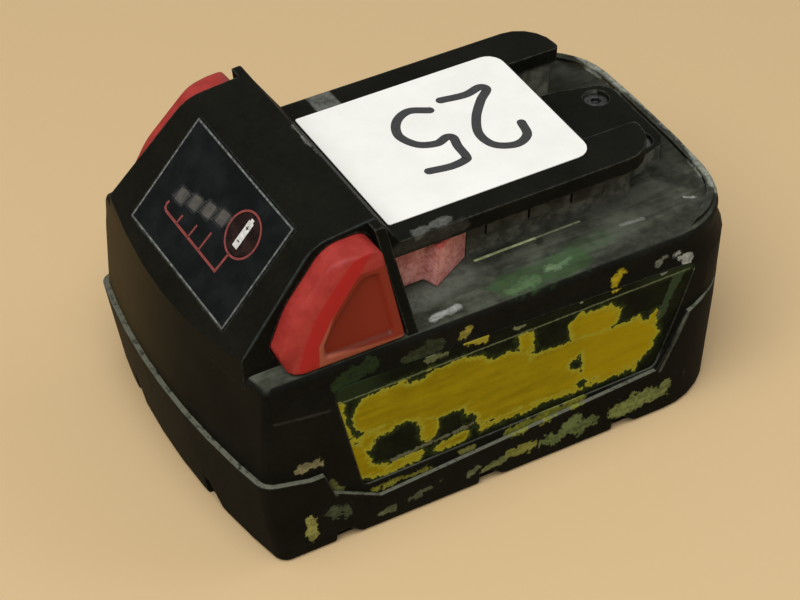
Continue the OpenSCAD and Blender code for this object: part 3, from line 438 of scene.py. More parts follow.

# %% [markdown]
# The rail and the gauge head are handled most. Their marks lie on several faces, so these strokes are given by
# points in space. A thin pale teal line along the head's near edge is a painted highlight of that edge.

# %% Marks on the rail and the head
HEAD_MARKS = [
    # from; to; half width; torn rim; colour; share; soft rim
    ((-20.5, -12.8, 69.2), (-27, -12.8, 69.2), 3.0, 1.2, (96, 98, 92), 0.85, 0.3),
    ((27, -23, 67.2), (27, -7, 67.6), 1.8, 2.0, (60, 58, 53), 0.7, 0.6),
    ((25.6, -18, 68.6), (24.6, -9.5, 68.8), 1.1, 2.8, (92, 94, 88), 0.85, 0.4),
    ((-7, -29.8, 80), (4.5, -29.7, 80), 0.4, 2.4, (128, 128, 120), 0.8, 0.25),
    ((22.2, -36.5, 80), (24.1, -34, 80), 0.14, 0.6, (120, 120, 112), 0.7, 0.1),
    ((18.3, -40.4, 79.5), (20.3, -37.9, 79.5), 0.1, 0.6, (74, 74, 68), 0.6, 0.1),
]
for start, end, half, ragged, colour, share, soft in HEAD_MARKS:
    mark(upper, [(start, end, half)], ragged, shade(*colour), share, soft)
# painted highlight: a thin pale teal line along the head's near edge, where its rounding catches the light
HEAD_EDGE_HIGHLIGHT = [(28.2, -30, 80), (28.4, -44.6, 78.6), (30.9, -62.1, 57.4)]
mark(upper, [(a, b, 0.3) for a, b in zip(HEAD_EDGE_HIGHLIGHT, HEAD_EDGE_HIGHLIGHT[1:])], 0.8, shade(54, 62, 61), 0.6, 0.2)
print(len(HEAD_MARKS), "marks, and", len(HEAD_EDGE_HIGHLIGHT) - 1, "worn runs along the head")

# %% [markdown]
# The long walls were splashed when the labels were painted. Both sides get the same splashes, turned end for
# end, because a battery is handled from either side and only one of them was seen.

# %% Marks on the long walls
WALL_X, WALL_TEAR = 38.5, 1.6
WALL_MARKS = [
    # along y, z on the wall round the label; half width; torn rim; colour; share
    (-43, 47, -36, 49, 2.4, 2.5, (36, 50, 28), 0.85), (-26, 47, -19, 47.6, 1.7, 4.0, (56, 62, 42), 0.8),
    (-12.6, 47.4, -11.6, 48.2, 1.2, 2.4, (140, 130, 56), 0.95),
    (26.8, 46.6, 28.4, 48.4, 1.4, 2.4, (160, 142, 28), 1.0),
    (44.4, 47, 47, 45, 1.3, 2.8, (160, 164, 158), 0.9), (46.4, 42, 47.4, 41.4, 0.9, 2.0, (150, 154, 148), 0.9),
    (38.6, 46.6, 40, 47.6, 0.9, 2.4, (120, 126, 112), 0.8), (-54, 26.8, -48, 26.2, 0.9, 4.4, (140, 136, 100), 0.9),
    (-34, 11.8, -20, 11.4, 1.1, 3.0, (126, 126, 48), 0.95), (-12, 12.4, -9, 12.4, 0.8, 2.0, (112, 116, 60), 0.9),
    (0, 12.6, 20, 14.2, 1.3, 3.2, (120, 124, 48), 0.95), (-45.4, 19, -42.6, 15.4, 0.8, 2.6, (110, 116, 66), 0.8),
]
for flip in (1, -1):
    for a, b, c, d, half, ragged, colour, share in WALL_MARKS:
        line = (WALL_X * flip, a * flip, b), (WALL_X * flip, c * flip, d), half
        mark(upper, [line], ragged * WALL_TEAR, shade(*colour), share)
# a dark scratch on the front wall, then a painted highlight along the rounded deck edge in front of the near latch
# and a fainter painted highlight along the crease below it
FRONT_Y, RIM_X = -66.5, 38.6
mark(upper, [((-25, FRONT_Y, 46.3), (-9, FRONT_Y, 46), 0.3)], 0.4, shade(10, 9, 6), 0.9, 0.2, 0)
mark(upper, [((RIM_X, -58.5, 51.7), (RIM_X, -37.5, 51.9), 0.55)], 1.2, shade(92, 95, 88), 0.9, 0.3)
mark(upper, [((RIM_X, -59.2, 43), (RIM_X, -46, 41), 0.35)], 0.9, shade(50, 52, 46), 0.6, 0.2)
close(upper, upper.colour, upper.rough - deck * 0.05, ["upper_housing"], upper.grain, 0.03, **NYLON_SHEEN)

# %% [markdown]
# The tub is the half that the battery stands on. Its ledge is proud of the wall above it and shows a pale grey
# line all round: partly rubbed wear, partly a painted highlight where its upward faces catch the light. Its far
# front gets a painted brown reflection of the floor, and its lower walls carry chips of dried olive paint.
# Separate flakes of mesh could stand for the chips, but dried paint is too thin to show an edge, so colour alone
# is enough.

# %% Marks on the lower housing
lower = nylon("lower_nylon")
# the ledge's pale line: rubbed wear, and a painted highlight on its upward faces
ledge_wear_and_highlight = rise(lower.nz, 0.55, 0.85) * rise(lower.z, 6, 8)
lower.colour = over(lower.colour, shade(92, 93, 80), ledge_wear_and_highlight * rise(lower.fleck + lower.blot * 0.5, 0.45, 0.8))
# painted reflection: the tub's far front is tinted brown where it would mirror the floor
reflecting_tub_front = rise(lower.ny, -0.75, -0.95)
lower.colour = over(lower.colour, shade(54, 47, 30), reflecting_tub_front * rise(lower.x, 15, -40) * 0.5)
worn = rise(lower.edge + (lower.fleck - 0.5) * 0.7, 0.36, 0.66)
lower.colour = over(lower.colour, WORN, worn * 0.4)
TUB_X, CHIP_TEAR = 39.6, 3.2
TUB_CHIPS = [
    # along y, z on the tub's wall; half width; torn rim; colour
    (29.5, 6.6, 43, 7.2, 2.2, 2.2, (122, 132, 76)), (10.5, 5.8, 23, 6.2, 1.9, 2.6, (100, 114, 68)),
    (16, 8.4, 19, 8.6, 1.4, 2.0, (100, 114, 68)), (1.5, 6.2, 6.6, 6.2, 1.4, 1.8, (128, 130, 62)),
    (-6.4, 4.4, 0, 5.6, 0.7, 1.6, (112, 118, 74)), (-9.4, 5, -7.6, 6, 0.7, 1.4, (104, 110, 78)),
    (-26.4, 4.8, -17.6, 6.2, 0.6, 1.8, (92, 98, 74)), (-33.4, 3.8, -29.6, 4.2, 0.7, 1.4, (104, 110, 80)),
    (-45, 11, -42, 9.4, 1.6, 2.6, (72, 80, 58)), (-51.2, 11.4, -50.2, 5.2, 1.0, 1.4, (148, 150, 84)),
    (48.8, 11.4, 49.6, 7, 0.5, 0.8, (138, 144, 112)), (-53, 26, -47, 25.2, 0.5, 1.8, (150, 146, 110)),
    (-34, 12, -20, 11.6, 0.8, 1.8, (132, 132, 54)), (-0.6, 12.6, 20, 14.4, 0.9, 2.2, (124, 128, 52)),
]
# the slanted steps of the same ledge line: rubbed wear and painted highlight
RUBBED_AND_LIT_STEPS = [(41.2, 14, 47.6, 29.8, 0.42), (-47.4, 23.6, -44.4, 15.6, 0.4)]
for flip in (1, -1):
    for a, b, c, d, half, ragged, colour in TUB_CHIPS:
        line = (TUB_X * flip, a * flip, b), (TUB_X * flip, c * flip, d), half
        mark(lower, [line], ragged * CHIP_TEAR, shade(*colour), 0.95)
    for a, b, c, d, half in RUBBED_AND_LIT_STEPS:
        line = (TUB_X * flip, a * flip, b), (TUB_X * flip, c * flip, d), half
        mark(lower, [line], 1.0, shade(88, 91, 81), 0.8)
close(lower, lower.colour, lower.rough + 0.06, ["lower_housing"], lower.grain, 0.03, **NYLON_SHEEN)

# %% [markdown]
# The release latches are one red moulding each. Its thumb button has a broad pink-red wall, a narrow facet of
# clean red, and a dished pad that hands have rubbed brown, with painted shade where the pad faces up and a
# paler lip at its foot. The hook behind the fin is dusty from sliding on the tool's rail, and is painted paler
# still to lift the shade under the rail's flange. The latch could be cut into one material for each zone. Masks
# keep it one moulding: the zones are told apart by how deep they lie under the button's crest.

# %% Red latches
red = surface("latch_red")
red.blot, red.fleck = noise(red, 4, 4), noise(red, 0.9, 4, shift=5)
red.edge = worn_edges(red)
CREST_X, CREST_DRAFT, THUMB_END = 37.4, 0.085, -24
# the dish's front edge in three runs: from this z it leans back by this much, starting at this y
DISH_Y, DISH_RUNS = -47.8, ((58.6, 0.552, -47.8), (64.4, 0.778, -44.6))
sunk = CREST_X - (red.z - DECK_Z) * CREST_DRAFT - abs(red.x)
dish_front = DISH_Y
for z, lean, y in DISH_RUNS:
    dish_front = ((red.z - z) * lean + y) | dish_front
inside = red.y - dish_front
thumb = rise(red.y, THUMB_END, THUMB_END - 3)
dish = rise(inside, -0.1, 0.3) * rise(sunk, 1.6, 1.3) * rise(red.z, 73.6, 73.2)
facet = rise(inside, 0.3, -0.2) * rise(sunk, 0.6, 0.42)
red.colour = over(shade(134, 40, 35), shade(150, 50, 44), rise(red.blot, 0.35, 0.7))
red.colour = over(red.colour, shade(150, 26, 25), facet * 0.9 * thumb)
rubbed_and_shaded = over(shade(110, 30, 14), shade(120, 37, 20), rise(red.y + (red.blot - 0.5) * 4, -42, -30))
# painted shade: the pad is darkened where it faces up, since that slope would catch more light
rubbed_and_shaded = over(rubbed_and_shaded, shade(88, 30, 15), rise(red.nz, 0.2, 0.5))
lip = rise(inside - (66 - red.z) * 0.2, 0.4, -0.4) | rise(red.z + (red.y + 47) * 0.09, 55.6, 55.0)
rubbed_and_shaded = over(rubbed_and_shaded, shade(146, 78, 58), lip * 0.85)
red.colour = over(red.colour, rubbed_and_shaded, dish * thumb)
print("thumb button: wall, facet, pad and lip")

# %% Latch hooks
hook = rise(red.y, THUMB_END - 1, THUMB_END + 1)
# dust on the hook, painted paler than the dust itself to lift the shade under the rail's flange
dusty_and_lit = over(shade(184, 108, 100), shade(220, 162, 152), rise(red.fleck * 0.5 + red.blot * 0.5, 0.38, 0.62))
red.colour = over(red.colour, dusty_and_lit, hook * 0.9)
chewed = rise(red.z + (red.fleck - 0.5) * 6 + (red.blot - 0.5) * 6, 62.6, 63.6)
red.colour = over(red.colour, shade(186, 62, 56), hook * chewed * 0.8)
red.colour = over(red.colour, shade(70, 28, 22), rise(red.fleck, 0.7, 0.76) * 0.6)
red.colour = over(red.colour, shade(190, 100, 90), rise(red.edge + (red.fleck - 0.5) * 0.6, 0.36, 0.66) * 0.4)
LATCHES, LATCH_SHEEN = ["release_latch_right", "release_latch_left"], {"Specular IOR Level": 0.15}
close(red, red.colour, 0.46 + (red.blot - 0.5) * 0.24 + hook * 0.2, LATCHES,
      noise(red, 0.4, 2), 0.02, 0.7 * MM, **LATCH_SHEEN)

# %% [markdown]
# The gauge is a printed film over a round key. The film is charcoal with a blue cast and a fine matt texture,
# and the key under it is a warmer black. One flat black would do from afar, but from near both are cloudy and
# softly textured, so each has two close tones and a bump.

# %% Gauge film and key
film = surface("gauge_film")
film.blot, film.fleck = noise(film, 6, 4), noise(film, 0.8, 3)
charcoal = over(shade(13, 15, 16), shade(23, 26, 27), rise(film.blot, 0.35, 0.7))
charcoal = over(charcoal, shade(88, 92, 92), rise(worn_edges(film) + (film.fleck - 0.5) * 0.6, 0.35, 0.7) * 0.6)
close(film, charcoal, 0.44 + (film.fleck - 0.5) * 0.12, ["gauge_panel"], noise(film, 0.22, 1), 0.015, 0.15 * MM,
      **NYLON_SHEEN)

key = surface("gauge_key")
key.blot = noise(key, 2.2, 4)
close(key, over(shade(24, 16, 14), shade(40, 28, 26), rise(key.blot, 0.35, 0.7)), 0.4 + (key.blot - 0.5) * 0.2,
      ["gauge_button"], noise(key, 0.25, 1), 0.015, 0.3 * MM, **NYLON_SHEEN)

# %% [markdown]
# Four smoked windows let the charge lamps through. They are smooth, so they look paler and flatter than the
# film. Each is a leaning pane, and the row climbs to the right. The print covers the rim of every pane, so the
# clear part is masked inside the solid one instead of cutting new panes.

# %% Gauge windows
PANE_COUNT, PANE_W, PANE_H, PANE_SLANT, PANE_RIM = 4, 2.8, 3.3, 0.3, 0.12
FIRST_PANE, PANE_STEP = Vector((-11.8, 16.95)), Vector((4.7, 1.33))
UPHILL = Vector((0, 0.6361, 0.7716))
smoked = surface("smoked_windows")
smoked.blot = noise(smoked, 2.5, 4)
height = smoked.place.vector("DOT_PRODUCT", UPHILL, "Value")
seen_pane = 0
for i in range(PANE_COUNT):
    mid = FIRST_PANE + PANE_STEP * i
    across = smoked.x - mid.x
    up = height - mid.y - across * PANE_SLANT
    wide = rise(abs(across), PANE_W / 2 + PANE_RIM, PANE_W / 2 - PANE_RIM)
    tall = rise(abs(up), PANE_H / 2 + PANE_RIM, PANE_H / 2 - PANE_RIM)
    seen_pane = wide * tall | seen_pane
print(PANE_COUNT, "panes, each", PANE_W, "mm wide inside its printed edge")
grey_pane = over(shade(50, 48, 44), shade(68, 66, 60), rise(smoked.blot, 0.35, 0.7))
close(smoked, over(shade(17, 19, 20), grey_pane, seen_pane),
      0.28 + (smoked.blot - 0.5) * 0.2, ["gauge_lenses"], noise(smoked, 0.6, 2), 0.01, 0.1 * MM)

# %% [markdown]
# Someone brushed ochre paint over the long labels, and it has torn away in places. A paint skin has three
# zones: its thick middle, a thin yellow-green rim, and a green stain just outside it. All three come from one
# distance to the brush strokes, so they follow the same torn line. A painted image would need an unwrapped
# label and would blur when seen from near.

# %% Brush strokes on the side labels
LABEL_X = 38.45
BRUSHED = [
    # brush strokes along y, z; half width
    (-34.5, 35.4, -14, 35.2, 6.0), (-20, 33, 0, 31, 6.8), (-4, 26, 20, 25.2, 8.0), (20, 26, 32, 25.2, 7.8),
    (19, 36.8, 25, 36.2, 4.2), (3.5, 35, 3.5, 39.4, 2.3), (-21, 25, -20.2, 22.4, 2.4), (38.6, 31.6, 36, 25, 1.4),
    (36, 24, 34.6, 20, 1.4), (-36, 27, -23, 29, 3.0), (-6, 17.6, 34, 18.2, 1.2), (-43.4, 40.6, -41, 30.6, 1.1),
    (-40.4, 28.4, -34, 29.2, 1.5), (-39.2, 26, -37.4, 19.4, 2.3),
    (-37.2, 18.2, -32, 16.2, 2.0), (-32, 15.8, -23, 16.6, 1.5), (-18, 16.2, -11.6, 16.8, 1.2),
    (-8, 38, -16, 39.4, 1.6),
]
TORN = [
    # where the coat has come away
    (-31, 23.4, -27, 24.4, 4.0), (-15.6, 22.8, -10, 21, 1.6), (-27, 41, -21, 41, 0.9), (17.4, 25.6, 18.2, 25, 1.1),
    (18.8, 28.6, 19.4, 23, 0.3), (19.6, 18.6, 20, 18.4, 0.8),
]
LABEL_CHIPS = [
    # chips of other paint along y, z; half width; colour
    (-12, 45.4, -7.2, 44.4, 0.9, (150, 138, 44)), (0.6, 44, 3, 44, 0.5, (108, 114, 84)),
    (17.6, 44.4, 19, 45.4, 0.5, (130, 134, 112)), (26.8, 44.8, 28.6, 45.6, 1.1, (172, 152, 34)),
    (-22, 44.6, -17, 44.4, 0.6, (92, 98, 66)), (-30, 18.4, -9, 19.6, 0.35, (92, 96, 74)),
    (44, 41, 40.4, 31, 1.3, (48, 62, 42)), (40, 44, 41.4, 45.4, 0.7, (120, 126, 116)),
]
print(len(BRUSHED), "brush strokes,", len(TORN), "torn places and", len(LABEL_CHIPS), "chips on each label")

# %% Painted side labels
def painted_label(name, flip):
    """The dark label of one side with its coat of ochre."""
    s = surface("painted_" + name)
    s.blot, s.fleck = noise(s, 5, 5, shift=2.0 + flip), noise(s, 1.1, 4, shift=9.0)
    s.brush = noise(s, 2.2, 4, (1, 0.12, 1), 4.0)
    reach = LABEL_X * flip

    def apart_from(lines):
        return strokes(s, [((reach, a * flip, b), (reach, c * flip, d), half) for a, b, c, d, half in lines])

    apart = (apart_from(BRUSHED) | (0 - apart_from(TORN))) + (s.blot - 0.5) * 5 + (s.fleck - 0.5) * 2.8
    coat = rise(apart, 0.12, -0.12)
    ground = over(shade(10, 13, 7), shade(19, 24, 12), rise(s.blot, 0.35, 0.7))
    green = rise(s.y * flip, -30, -38) | rise(s.y * flip, 30, 40)
    ground = over(ground, shade(32, 44, 25), green * rise(s.z, 40.5, 42) * 0.8)
    ground = over(ground, shade(40, 52, 22), rise(apart, 1.5, 0.2) * 0.8)
    ochre = over(shade(120, 104, 4), shade(146, 130, 8), rise(s.brush * 0.7 + s.blot * 0.4, 0.3, 0.8))
    ochre = over(ochre, shade(158, 136, 6), rise(s.y * flip, 4, 28) * 0.5)
    ochre = over(ochre, shade(146, 146, 44), rise(apart, -1.7, -0.1) * 0.8)
    ground = over(ground, ochre, coat)
    for *line, colour in LABEL_CHIPS:
        chip = apart_from([line]) + (s.fleck - 0.5) * 2.6 + (s.blot - 0.5) * 2
        ground = over(ground, shade(*colour), rise(chip, 0.2, -0.2) * 0.9)
    crease = rise(near(s, (reach, -45 * flip, 41.7), (reach, 47 * flip, 42)) + (s.fleck - 0.5) * 0.7, 0.34, 0.1)
    ground = over(ground, shade(100, 108, 78), crease * 0.75)
    close(s, ground, 0.5 + (s.fleck - 0.5) * 0.2 - coat * 0.06, [name],
          coat * (0.7 + s.brush * 0.5), 0.25, 0.15 * MM, **NYLON_SHEEN)


painted_label("side_label_right", 1)
painted_label("side_label_left", -1)

# %% [markdown]
# The asset label is white vinyl with a faint tooth. It is nearly clean, with a little grey at its edges, where
# dirt clings to the glue. Pure white would clip under the light, so the paint stays just below it.

# %% White asset label
vinyl = surface("white_vinyl")
vinyl.blot, vinyl.fleck = noise(vinyl, 8, 4), noise(vinyl, 1.2, 4)
white = over(shade(236, 236, 232), shade(246, 246, 243), rise(vinyl.blot, 0.3, 0.7))
white = over(white, shade(186, 186, 178), rise(worn_edges(vinyl, 1.2) + (vinyl.fleck - 0.5) * 0.7, 0.4, 0.8) * 0.5)
close(vinyl, white, 0.45 + (vinyl.fleck - 0.5) * 0.1, ["asset_label"], noise(vinyl, 0.3, 1), 0.01, 0.08 * MM)

# %% [markdown]
# What lies inside shows when the shells are taken off, so it gets real finishes too: sleeved cells with bare
# nickel ends, brushed nickel straps, and contacts. Brushed metal is drawn noise: stretched along the way it was
# rolled, it feeds colour, roughness and bump alike.

# %% Cells, straps and contacts
CELLS = [n for n in solids if n.startswith("cell_") and n[5:].isdigit()]
STRAPS = [n for n in solids if n.startswith("strap_")]
CONTACTS = [n for n in solids if n.startswith("terminal_contact_")]
sleeve = surface("cell_sleeve")
sleeve.blot = noise(sleeve, 5, 4)
bare = rise(abs(sleeve.nx), 0.8, 0.9)
wrap = over(shade(34, 92, 104), shade(46, 112, 122), rise(sleeve.blot, 0.35, 0.7))
close(sleeve, over(wrap, shade(186, 184, 176), bare), 0.38 - bare * 0.06, CELLS,
      noise(sleeve, 0.5, 2), 0.015, Metallic=bare)

strip = surface("brushed_nickel")
strip.line = noise(strip, 0.5, 4, (1, 1, 0.05))
close(strip, over(shade(170, 166, 156), shade(206, 202, 192), rise(strip.line, 0.35, 0.65)), 0.3 + strip.line * 0.15,
      STRAPS, strip.line, 0.02, Metallic=1.0)

tin = surface("tinned_copper")
tin.line = noise(tin, 0.5, 4, (1, 0.06, 1))
close(tin, over(shade(184, 116, 76), shade(214, 160, 118), rise(tin.line, 0.35, 0.65)), 0.28 + tin.line * 0.15,
      CONTACTS, tin.line, 0.02, Metallic=1.0)

# %% [markdown]
# The circuit boards are green with faint lines of copper under the lacquer. The lines follow where a smooth noise
# crosses its middle value, which gives winding traces without drawing them. The plain pieces share one finish
# of two near tones.

# %% Boards and plain mouldings
board = surface("board_green")
TRACE_OUT, TRACE_IN = 0.03, 0.012
broad, fine = (abs(noise(board, size, 0, shift=shift) - 0.5) for size, shift in ((5, 0.0), (3, 4)))
trace = rise(broad, TRACE_OUT, TRACE_IN) | rise(fine, TRACE_OUT, TRACE_IN)
close(board, over(shade(16, 74, 44), shade(44, 118, 74), trace * 0.7), 0.34 + trace * 0.08,
      ["main_board", "gauge_board"], trace, 0.03)


def moulded(name, dark, light, rough, names, size=3.0, **other):
    """A finish of two near tones with a fine grain, for plastics and plain metal."""
    s = surface(name)
    blot = noise(s, size, 4)
    close(s, over(dark, light, rise(blot, 0.35, 0.7)), rough + (blot - 0.5) * 0.2, names,
          noise(s, 0.4, 2), 0.02, **other)


moulded("carrier_grey", shade(92, 94, 96), shade(110, 112, 114), 0.5, ["cell_carrier_right", "cell_carrier_left"])
moulded("chip_black", shade(22, 22, 24), shade(38, 38, 40), 0.45, ["board_parts", "gauge_switch"], 1.2)
moulded("holder_black", shade(20, 20, 20), shade(34, 34, 33), 0.5, ["terminal_holder"], 2.0)
moulded("lamp_white", shade(224, 220, 196), shade(240, 236, 214), 0.35, ["gauge_lamps"], 1.0)
moulded("screw_steel", shade(52, 52, 54), shade(84, 84, 84), 0.35, ["housing_screws"], 1.2, Metallic=0.9)

# %% [markdown]
# Print and pen strokes are thin layers of ink on a flat face. They could be masks in the film's material, but
# small flat ribbons of mesh stay crisp from any distance. First the face itself is found: its middle, and its
# across, up and outward directions, read from the solid's own polygons.

# %% Finding a face
def face_of(name, way):
    """The centre of a solid's face that looks this way, with its across, up and outward directions."""
    mesh = solids[name].data
    looking = [f for f in mesh.polygons if f.normal.dot(way) > 0.97]
    outward = sum((f.normal * f.area for f in looking), Vector()).normalized()
    across = Vector((0, 0, 1)).cross(outward) if abs(outward.z) < 0.99 else Vector((1, 0, 0))
    across.normalize()
    up = outward.cross(across)
    points = [mesh.vertices[i].co for f in looking for i in f.vertices]
    spans = [[p.dot(d) for p in points] for d in (across, up, outward)]
    middle = [(min(v) + max(v)) / 2 for v in spans[:2]] + [max(spans[2])]
    at = across * middle[0] + up * middle[1] + outward * middle[2]
    return SimpleNamespace(at=at, across=across, up=up, out=outward)


GAUGE_WAY = Vector((0, -0.7716, 0.6361))
gauge_face = face_of("gauge_panel", GAUGE_WAY)
key_face = face_of("gauge_button", GAUGE_WAY)
print("gauge face at", [round(c / MM, 1) for c in gauge_face.at])

# %% [markdown]
# A ribbon is swept along a path on such a face. At each point it gets four corners, set square to the run of the
# path and widened in bends, so that its width stays even. Its ends can be round, as a pen leaves them.

# %% Ribbons of ink
CAP_STEPS = [math.radians(a) for a in (15, 35, 55, 75, 88)]


def rounded(spots, halves, width):
    """A path with a round cap at both ends: more points, with narrowing half widths."""
    caps = []
    for end, beside in ((0, 1), (-1, -2)):
        out = (spots[end] - spots[beside]).normalized()
        caps.append([(spots[end] + out * math.sin(a) * width / 2, math.cos(a) * width / 2) for a in CAP_STEPS])
    first, last = caps[0][::-1], caps[1]
    return ([c[0] for c in first] + spots + [c[0] for c in last],
            [c[1] for c in first] + halves + [c[1] for c in last])


def ribbon(name, face, paths, width, body, finish, closed=False, round_ends=False, lift=0.04):
    """Flat strips of ink along paths that are given in millimetres across and up a face."""
    shell = bmesh.new()
    for path in paths:
        spots = [Vector(p) for p in path]
        halves = [width / 2] * len(spots)
        if round_ends:
            spots, halves = rounded(spots, halves, width)
        count = len(spots)
        rows = []
        for i, spot in enumerate(spots):
            before = spots[i - 1] if i or closed else spot
            after = spots[(i + 1) % count] if i < count - 1 or closed else spot
            turns = [d.normalized() for d in (spot - before, after - spot) if d.length > 1e-9]
            run = (turns[0] + turns[-1]).normalized()
            miter = 1 / max(run.dot(turns[0]), 0.4)
            edge = Vector((-run.y, run.x)) * halves[i] * miter
            rows.append([
                shell.verts.new(face.at + (face.across * q.x + face.up * q.y + face.out * h) * MM)
                for q, h in ((spot + edge, lift), (spot - edge, lift),
                             (spot - edge, -lift / 2), (spot + edge, -lift / 2))
            ])
        for a, b in zip(rows, rows[1:] + rows[:1] if closed else rows[1:]):
            for k in range(4):
                shell.faces.new((a[k], a[(k + 1) % 4], b[(k + 1) % 4], b[k]))
        if not closed:
            shell.faces.new(rows[0][::-1])
            shell.faces.new(rows[-1])
    bmesh.ops.recalc_face_normals(shell, faces=shell.faces)
    mesh = bpy.data.meshes.new(name)
    shell.to_mesh(mesh)
    shell.free()
    mesh.materials.append(finish)
    piece = bpy.data.objects.new(name, mesh)
    bpy.context.scene.collection.objects.link(piece)
    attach(piece, body)
    print(name, "has", len(mesh.polygons), "faces")


def ink(name, dark, light, rough=0.5):
    """A printed or drawn line with a little wear."""
    s = surface(name)
    blot = noise(s, 1.1, 4)
    close(s, over(dark, light, rise(blot, 0.35, 0.7)), rough + (blot - 0.5) * 0.2, [], round_off=None)
    return s.made


grey_ink = ink("border_grey", shade(52, 55, 54), shade(110, 113, 110))
red_ink = ink("gauge_red", shade(98, 35, 32), shade(124, 48, 44))
white_ink = ink("sign_white", shade(170, 170, 166), shade(205, 205, 200))
dark_ink = ink("sign_dark", shade(30, 22, 21), shade(40, 30, 28))

# %% [markdown]
# The film carries a grey border just inside its rim, a red ring round the key, and a red bracket whose three
# ticks count up to the windows. The border takes its size from the film and the ring its place from the key, so
# neither is typed twice. The bracket is drawn from listed points, with a soft hook at its low end.

# %% Gauge print
BORDER_IN, BORDER_W = (0.35, 0.75), 0.42
low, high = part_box("gauge_panel")
half_w = (high.x - low.x) / 2 / MM - BORDER_IN[0]
half_h = math.hypot(high.y - low.y, high.z - low.z) / 2 / MM - BORDER_IN[1]
frame_path = [(-half_w, -half_h), (half_w, -half_h), (half_w, half_h), (-half_w, half_h)]
ribbon("gauge_border", gauge_face, [frame_path], BORDER_W, "pack", grey_ink, closed=True)

offset = key_face.at - gauge_face.at
key_u, key_v = offset.dot(gauge_face.across) / MM, offset.dot(gauge_face.up) / MM
RING_R, RING_STEPS, INK_W, BRACKET_W = 5.25, 72, 0.5, 0.62
angles = [i * math.tau / RING_STEPS for i in range(RING_STEPS)]
ring_path = [(key_u + RING_R * math.cos(a), key_v + RING_R * math.sin(a)) for a in angles]
ribbon("gauge_ring", gauge_face, [ring_path], INK_W, "pack", red_ink, closed=True)
BRACKET_V, LEFT_U, RIGHT_U = -6.3, -13.6, 9.6
hook_path = [(LEFT_U - 0.4, -4.2), (LEFT_U - 0.6, -5.0), (LEFT_U - 0.3, -5.9), (LEFT_U + 0.6, BRACKET_V),
             (RIGHT_U, BRACKET_V), (key_u - 0.2, key_v - RING_R)]
TICKS, TICK_LEAN = ((-8.3, 2.4), (-3.0, 3.5), (1.9, 5.0)), 0.3
ticks = [[(u, BRACKET_V), (u + TICK_LEAN, BRACKET_V + tall)] for u, tall in TICKS]
ribbon("gauge_bracket", gauge_face, [hook_path], BRACKET_W, "pack", red_ink)
ribbon("gauge_ticks", gauge_face, ticks, INK_W, "pack", red_ink)

# %% [markdown]
# The key has a small plain battery sign: a white body, a cap, and a plus and a minus in dark ink. It rides on the
# key, not on the film. The dark ink lies a little higher than the white, or the two would share one plane and
# flicker.

# %% Battery sign on the key
SIGN_L, SIGN_W, CAP_L, CAP_W = 6.6, 1.9, 0.7, 1.0
PLUS_W, OVER_WHITE = 0.3, 0.07
sign_body, sign_cap = [(0, -SIGN_L / 2), (0, SIGN_L / 2)], [(0, SIGN_L / 2), (0, SIGN_L / 2 + CAP_L)]
ribbon("key_sign", key_face, [sign_body], SIGN_W, "gauge_key", white_ink)
ribbon("key_sign_cap", key_face, [sign_cap], CAP_W, "gauge_key", white_ink)
plus = [[(-0.5, 1.7), (0.5, 1.7)], [(0, 1.2), (0, 2.2)], [(-0.5, -1.7), (0.5, -1.7)]]
ribbon("key_sign_marks", key_face, plus, PLUS_W, "gauge_key", dark_ink, lift=OVER_WHITE)

# %% [markdown]
# The asset number is drawn with a thick felt pen: even strokes with round ends and a slight wobble. A font
# would look printed, so each digit is a handful of points with a smooth curve through them.

# %% Felt pen number
def smooth_path(points, steps=7):
    """A smooth curve through points."""
    spots = [Vector(p) for p in points]
    spots = [2 * spots[0] - spots[1]] + spots + [2 * spots[-1] - spots[-2]]
    curve = []
    for a, b, c, d in zip(spots, spots[1:], spots[2:], spots[3:]):
        for k in range(steps):
            t = k / steps
            square, cube = 2 * a - 5 * b + 4 * c - d, 3 * b - a - 3 * c + d
            curve.append(0.5 * (2 * b + (c - a) * t + square * t * t + cube * t ** 3))
    return curve + [spots[-2]]


DIGIT_W, DIGIT_H, DIGIT_GAP, PEN_W, PEN_LIFT = 12.5, 21.5, 3.0, 2.2, 0.03
DIGITS = [
    [(0.04, 0.72), (0.14, 0.92), (0.45, 1.0), (0.8, 0.9), (0.88, 0.68), (0.68, 0.43), (0.34, 0.2), (0.08, 0.07),
     (0.16, 0.0), (0.5, 0.04), (0.98, 0.0)],
    [(0.96, 0.95), (0.55, 0.99), (0.25, 0.97), (0.17, 0.92), (0.15, 0.74), (0.1, 0.6), (0.2, 0.56), (0.44, 0.6),
     (0.76, 0.52), (0.92, 0.31), (0.76, 0.1), (0.42, 0.0), (0.06, 0.09)],
]
sticker = face_of("asset_label", Vector((0, 0, 1)))
sticker.across, sticker.up = Vector((0, -1, 0)), Vector((1, 0, 0))
NUMBER_START = (-18.2, -11.2)
pen = ink("felt_pen", shade(24, 25, 28), shade(36, 37, 40), 0.45)
for place, digit in enumerate(DIGITS):
    start = NUMBER_START[0] + place * (DIGIT_W + DIGIT_GAP)
    path = smooth_path([(start + u * DIGIT_W, NUMBER_START[1] + v * DIGIT_H) for u, v in digit])
    ribbon(f"felt_digit_{place + 1}", sticker, [path], PEN_W, "pack", pen,
           round_ends=True, lift=PEN_LIFT)

# %% [markdown]
# A latch spring is drawn steel wire wound round a boss, with its end turns closed up. The CAD solid has few faces
# and an even pitch, so a finer wire takes its place here. A curve with a round bevel would be shorter to write,
# but rings of points follow the changing pitch exactly.

# %% Latch springs
SPRING_TURNS, WIRE, END_TURNS = 6, 0.8, 0.8
TURN_STEPS, WIRE_SIDES = 28, 10
wire_steel = surface("spring_steel")
wire_steel.blot = noise(wire_steel, 0.8, 4)
close(wire_steel, over(shade(120, 118, 112), shade(168, 166, 160), rise(wire_steel.blot, 0.35, 0.7)),
      0.28 + wire_steel.blot * 0.1, [], noise(wire_steel, 0.2, 2), 0.01, None, Metallic=1.0)


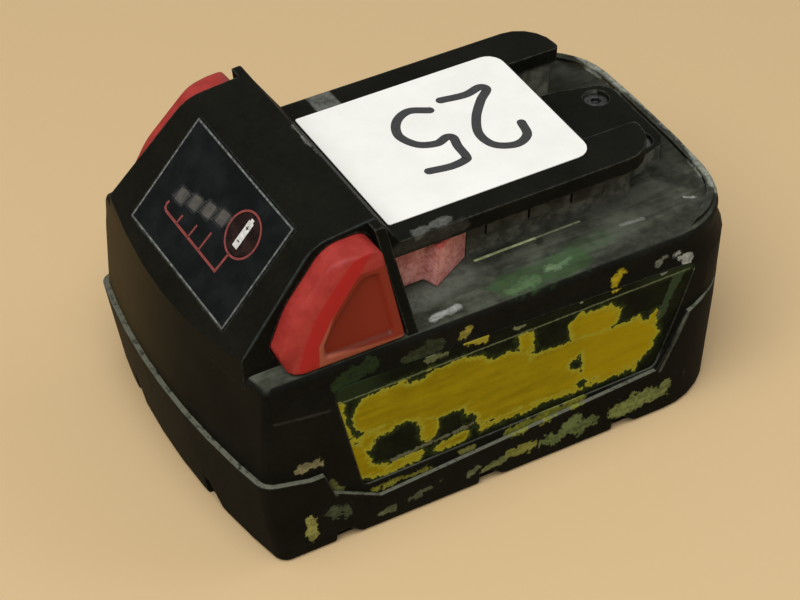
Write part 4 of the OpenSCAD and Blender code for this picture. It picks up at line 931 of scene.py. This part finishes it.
def spring(name, travel):
    """A helical wire in the place of the CAD spring, which it replaces."""
    low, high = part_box(name)
    mid_y, mid_z = (low.y + high.y) / 2, (low.z + high.z) / 2
    wire_r = WIRE / 2 * MM
    radius = (high.y - low.y) / 2 - wire_r
    first, last = low.x + wire_r, high.x - wire_r
    shell = bmesh.new()
    rings = []
    total = SPRING_TURNS + 2 * END_TURNS
    for i in range(int(total * TURN_STEPS) + 1):
        turn = i / TURN_STEPS
        open_share = min(max((turn - END_TURNS) / SPRING_TURNS, 0), 1)
        closed_share = min(turn, END_TURNS) + max(turn - END_TURNS - SPRING_TURNS, 0)
        pitch_room = last - first - 2 * END_TURNS * 2 * wire_r
        x = first + open_share * pitch_room + closed_share * 2 * wire_r
        a = turn * math.tau
        ring = []
        for j in range(WIRE_SIDES):
            b = j * math.tau / WIRE_SIDES
            q = radius + wire_r * math.cos(b)
            spot = x + wire_r * math.sin(b), mid_y + q * math.cos(a), mid_z + q * math.sin(a)
            ring.append(shell.verts.new(spot))
        rings.append(ring)
    for a, b in zip(rings, rings[1:]):
        for j in range(WIRE_SIDES):
            k = (j + 1) % WIRE_SIDES
            shell.faces.new((a[j], a[k], b[k], b[j])).smooth = True
    shell.faces.new(rings[0][::-1])
    shell.faces.new(rings[-1])
    bmesh.ops.recalc_face_normals(shell, faces=shell.faces)
    mesh = bpy.data.meshes.new(name + "_wire")
    shell.to_mesh(mesh)
    shell.free()
    mesh.materials.append(wire_steel.made)
    coil = bpy.data.objects.new(name + "_wire", mesh)
    bpy.context.scene.collection.objects.link(coil)
    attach(coil, "pack")
    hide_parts(name)
    length = high.x - low.x
    1 - travel / length
    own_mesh(coil)
    print(coil.name, round(length / MM, 2), "mm long, keeps", round(1 - travel / length, 3))


for side, word in ((1, "right"), (-1, "left")):
    joint = next(j for j in frame["joints"] if j["name"] == f"latch_{word}_press")
    spring(f"latch_spring_{word}", max(joint["range_m"]))

# %% [markdown] Finishes and ink must not make the battery larger than its CAD model, or it would no longer fit
# its tool.
